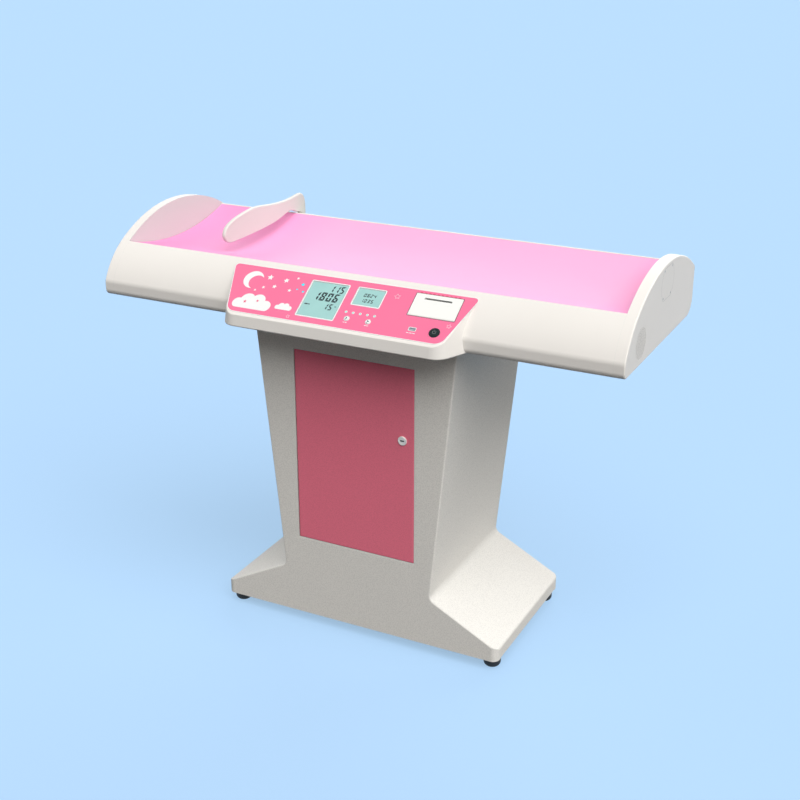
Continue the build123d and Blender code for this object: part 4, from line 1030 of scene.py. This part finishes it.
plate = {"halfWide": 32.0, "low": 794.0, "high": 836.0, "corner": 3.0, "thick": 1.2, "ease": 0.5, "screwIn": 7.0,
         "turns": [0.5, 1.2]}
low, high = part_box("carriage")
toBack = Matrix.Rotation(-pi / 2, 4, "X")
onCarriage = Matrix.Translation(((low[0] + high[0]) / 2, high[1], 0)) @ toBack @ Matrix.Rotation(pi, 4, "Z")
plateLoop = roundedLoop(boxLoop(-plate["halfWide"], plate["halfWide"], plate["low"], plate["high"]), plate["corner"])
slab("carriagePlate", [plateLoop], 0, plate["thick"], "blackSatin", "footboard_slide", "black_plastic", onCarriage,
     plate["ease"])
plateSpots = [(side * (plate["halfWide"] - plate["screwIn"]), (plate["low"] + plate["high"]) / 2, plate["thick"])
              for side in (-1, 1)]
screws("plateScrews", plateSpots, plate["turns"], onCarriage, "footboard_slide")
print("carriage plate done")


# Graduations on the strip at the back, and the rail's screws

rule = {"half": 590, "margin": 8, "pitch": 10, "y": 253.6, "foot": 823.4, "tickHalf": 0.25, "tickThick": 0.04,
        "short": 2.6, "fifth": 1.6, "tenth": 1.8}
rail = {"screws": 9, "start": -560, "pitch": 140, "y": 260.1, "z": 809, "screwSize": 0.9, "turn": 0.2}
tickLoop = boxLoop(-rule["tickHalf"], rule["tickHalf"], 0, 1)  # 1 mm long, which the tree stretches
tickShape = hidden(slabMesh("tickShape", [tickLoop], 0, rule["tickThick"]))


def ruleTree():
    # ticks at an even pitch, every fifth longer and every tenth longest
    desk, inlets = treeOf("ruleTicks", [("Pattern", "Object", None), ("Count", "Int", 101), ("Pitch", "Float", 0.01),
                                        ("Finish", "Material", None)])
    line = desk.add("MeshLine", {"mode": "OFFSET", "count_mode": "TOTAL"},
                    {"Count": inlets["Count"], "Offset": desk.vector(X=inlets["Pitch"])})
    index = desk.add("InputIndex")
    five = index.calc("MODULO", index, 5.0) < 0.5
    ten = index.calc("MODULO", index, 10.0) < 0.5
    length = rule["short"] + five * rule["fifth"] + ten * rule["tenth"]
    pattern = desk.add("ObjectInfo", {}, {"Object": inlets["Pattern"]}, out=4)
    placed = desk.add("InstanceOnPoints", {}, {"Points": line, "Instance": pattern,
                                               "Scale": desk.vector(X=1.0, Y=length, Z=1.0)})
    return closeTree(desk, placed, inlets["Finish"])


gaps = int(2 * (rule["half"] - rule["margin"]) / rule["pitch"])
mesh = grow("scaleTicks", bpy.data.meshes.new("ticksHost"), ruleTree(),
            {"Pattern": tickShape, "Count": gaps + 1, "Pitch": -rule["pitch"] * mm, "Finish": finishes["lcdInk"]})
onStrip = shift(gaps * rule["pitch"] / 2, rule["y"], rule["foot"]) @ Matrix.Rotation(pi / 2, 4, "X") \
    @ Matrix.Scale(-1, 4, (0, 0, 1))
newPiece("scaleTicks", mesh, None, "stand", onStrip)
mesh.flip_normals()  # the scale of -1 turned it inside out
railSpots = [(rail["start"] + i * rail["pitch"], 0) for i in range(rail["screws"])]  # sunk, clear of the carriage
screws("railScrews", railSpots, [rail["turn"] * i for i in range(rail["screws"])],
       shift(0, rail["y"], rail["z"]) @ toBack, size=rail["screwSize"])
print("rule and rail screws done:", gaps + 1, "ticks")


# Screws of the pedestal's back panel, in pairs: x to each side, and z

backPanel = {"y": 211, "pairs": [(205, 700), (196, 560), (186, 420), (176, 280), (310, 48), (110, 48)],
             "screwSize": 1.2, "turn": 0.37}
backSpots = [(-side * x, z) for x, z in backPanel["pairs"] for side in (-1, 1)]
screws("backScrews", backSpots, [backPanel["turn"] * i for i in range(len(backSpots))],
       shift(0, backPanel["y"], 0) @ toBack @ Matrix.Rotation(pi, 4, "Z"), size=backPanel["screwSize"])
print("back screws done")

for pattern in patterns:
    bpy.data.objects.remove(pattern)


# Stage, light and camera; each lamp has a direction, a level and the angle it fills

studio = {"floorHalf": 60, "floor": (0.42, 0.62, 0.90), "sky": (0.508, 0.745, 1.0), "ambient": 0.07, "bounce": 0.08,
          "glow": 0.65, "lampAway": 3,
          "lamps": [("frontLamp", (0.38, -0.41, 0.83), 1.03, 60), ("backLamp", (-0.12, 0.94, 0.30), 0.52, 60),
                    ("rightLamp", (0.95, -0.12, 0.25), 0.32, 60), ("leftLamp", (-0.93, -0.12, 0.25), 0.13, 60)]}
view = {"place": (1.2622, -2.45047, 1.62794), "target": (0.0089, 0.039, 0.5069), "lens": 59.79, "sensor": 36}


def seenShare(desk):
    # 1 for rays that show the thing itself, 0 for those that only carry its light
    rays = desk.add("LightPath").socket.node.outputs
    camera, glossy, through = [Wire(desk, rays["Is " + kind + " Ray"]) for kind in ("Camera", "Glossy", "Transmission")]
    return (camera + glossy + through).clipped()


def floorFinish():
    # pale blue where it is seen, a neutral grey where it only throws light back
    look = Finish("floorBlue")
    seen = seenShare(look)
    tone = look.mixColour(seen, toned([studio["bounce"]] * 3), toned(studio["floor"]))
    glow = look.add("Emission", {}, {"Color": toned(studio["sky"]), "Strength": 1.0})
    matt = look.add("BsdfDiffuse", {}, {"Color": tone})
    return look.ended(look.add("MixShader", {}, {0: seen * studio["glow"], 1: matt, 2: glow}))


half = studio["floorHalf"]
floorMesh = bpy.data.meshes.new("floor")
floorMesh.from_pydata([(-half, -half, 0), (half, -half, 0), (half, half, 0), (-half, half, 0)], [], [(0, 1, 2, 3)])
floorMesh.materials.append(floorFinish())
floor = linked("floor", floorMesh)

world = bpy.data.worlds.new("studio")
scene.world = world
world.use_nodes = True
world.node_tree.nodes.clear()
sky = Desk(world.node_tree, "ShaderNode")
air = sky.mixColour(seenShare(sky), toned([studio["ambient"]] * 3), toned(studio["sky"]))
sky.add("OutputWorld", {}, {"Surface": sky.add("Background", {}, {"Color": air, "Strength": 1.0})})

for name, direction, level, angle in studio["lamps"]:
    sun = bpy.data.lights.new(name, "SUN")
    sun.energy, sun.angle = level * pi, radians(angle)
    lamp = linked(name, sun)
    lamp.rotation_euler = Vector(direction).to_track_quat("Z", "Y").to_euler()
    lamp.location = Vector(direction) * studio["lampAway"]

eye = bpy.data.cameras.new("camera")
eye.lens, eye.sensor_width = view["lens"], view["sensor"]
camera = linked("camera", eye)
camera.location = view["place"]
camera.rotation_euler = (Vector(view["target"]) - Vector(view["place"])).to_track_quat("-Z", "Y").to_euler()
scene.camera = camera
scene.view_settings.view_transform = "Standard"
print("stage, lamps and camera done")
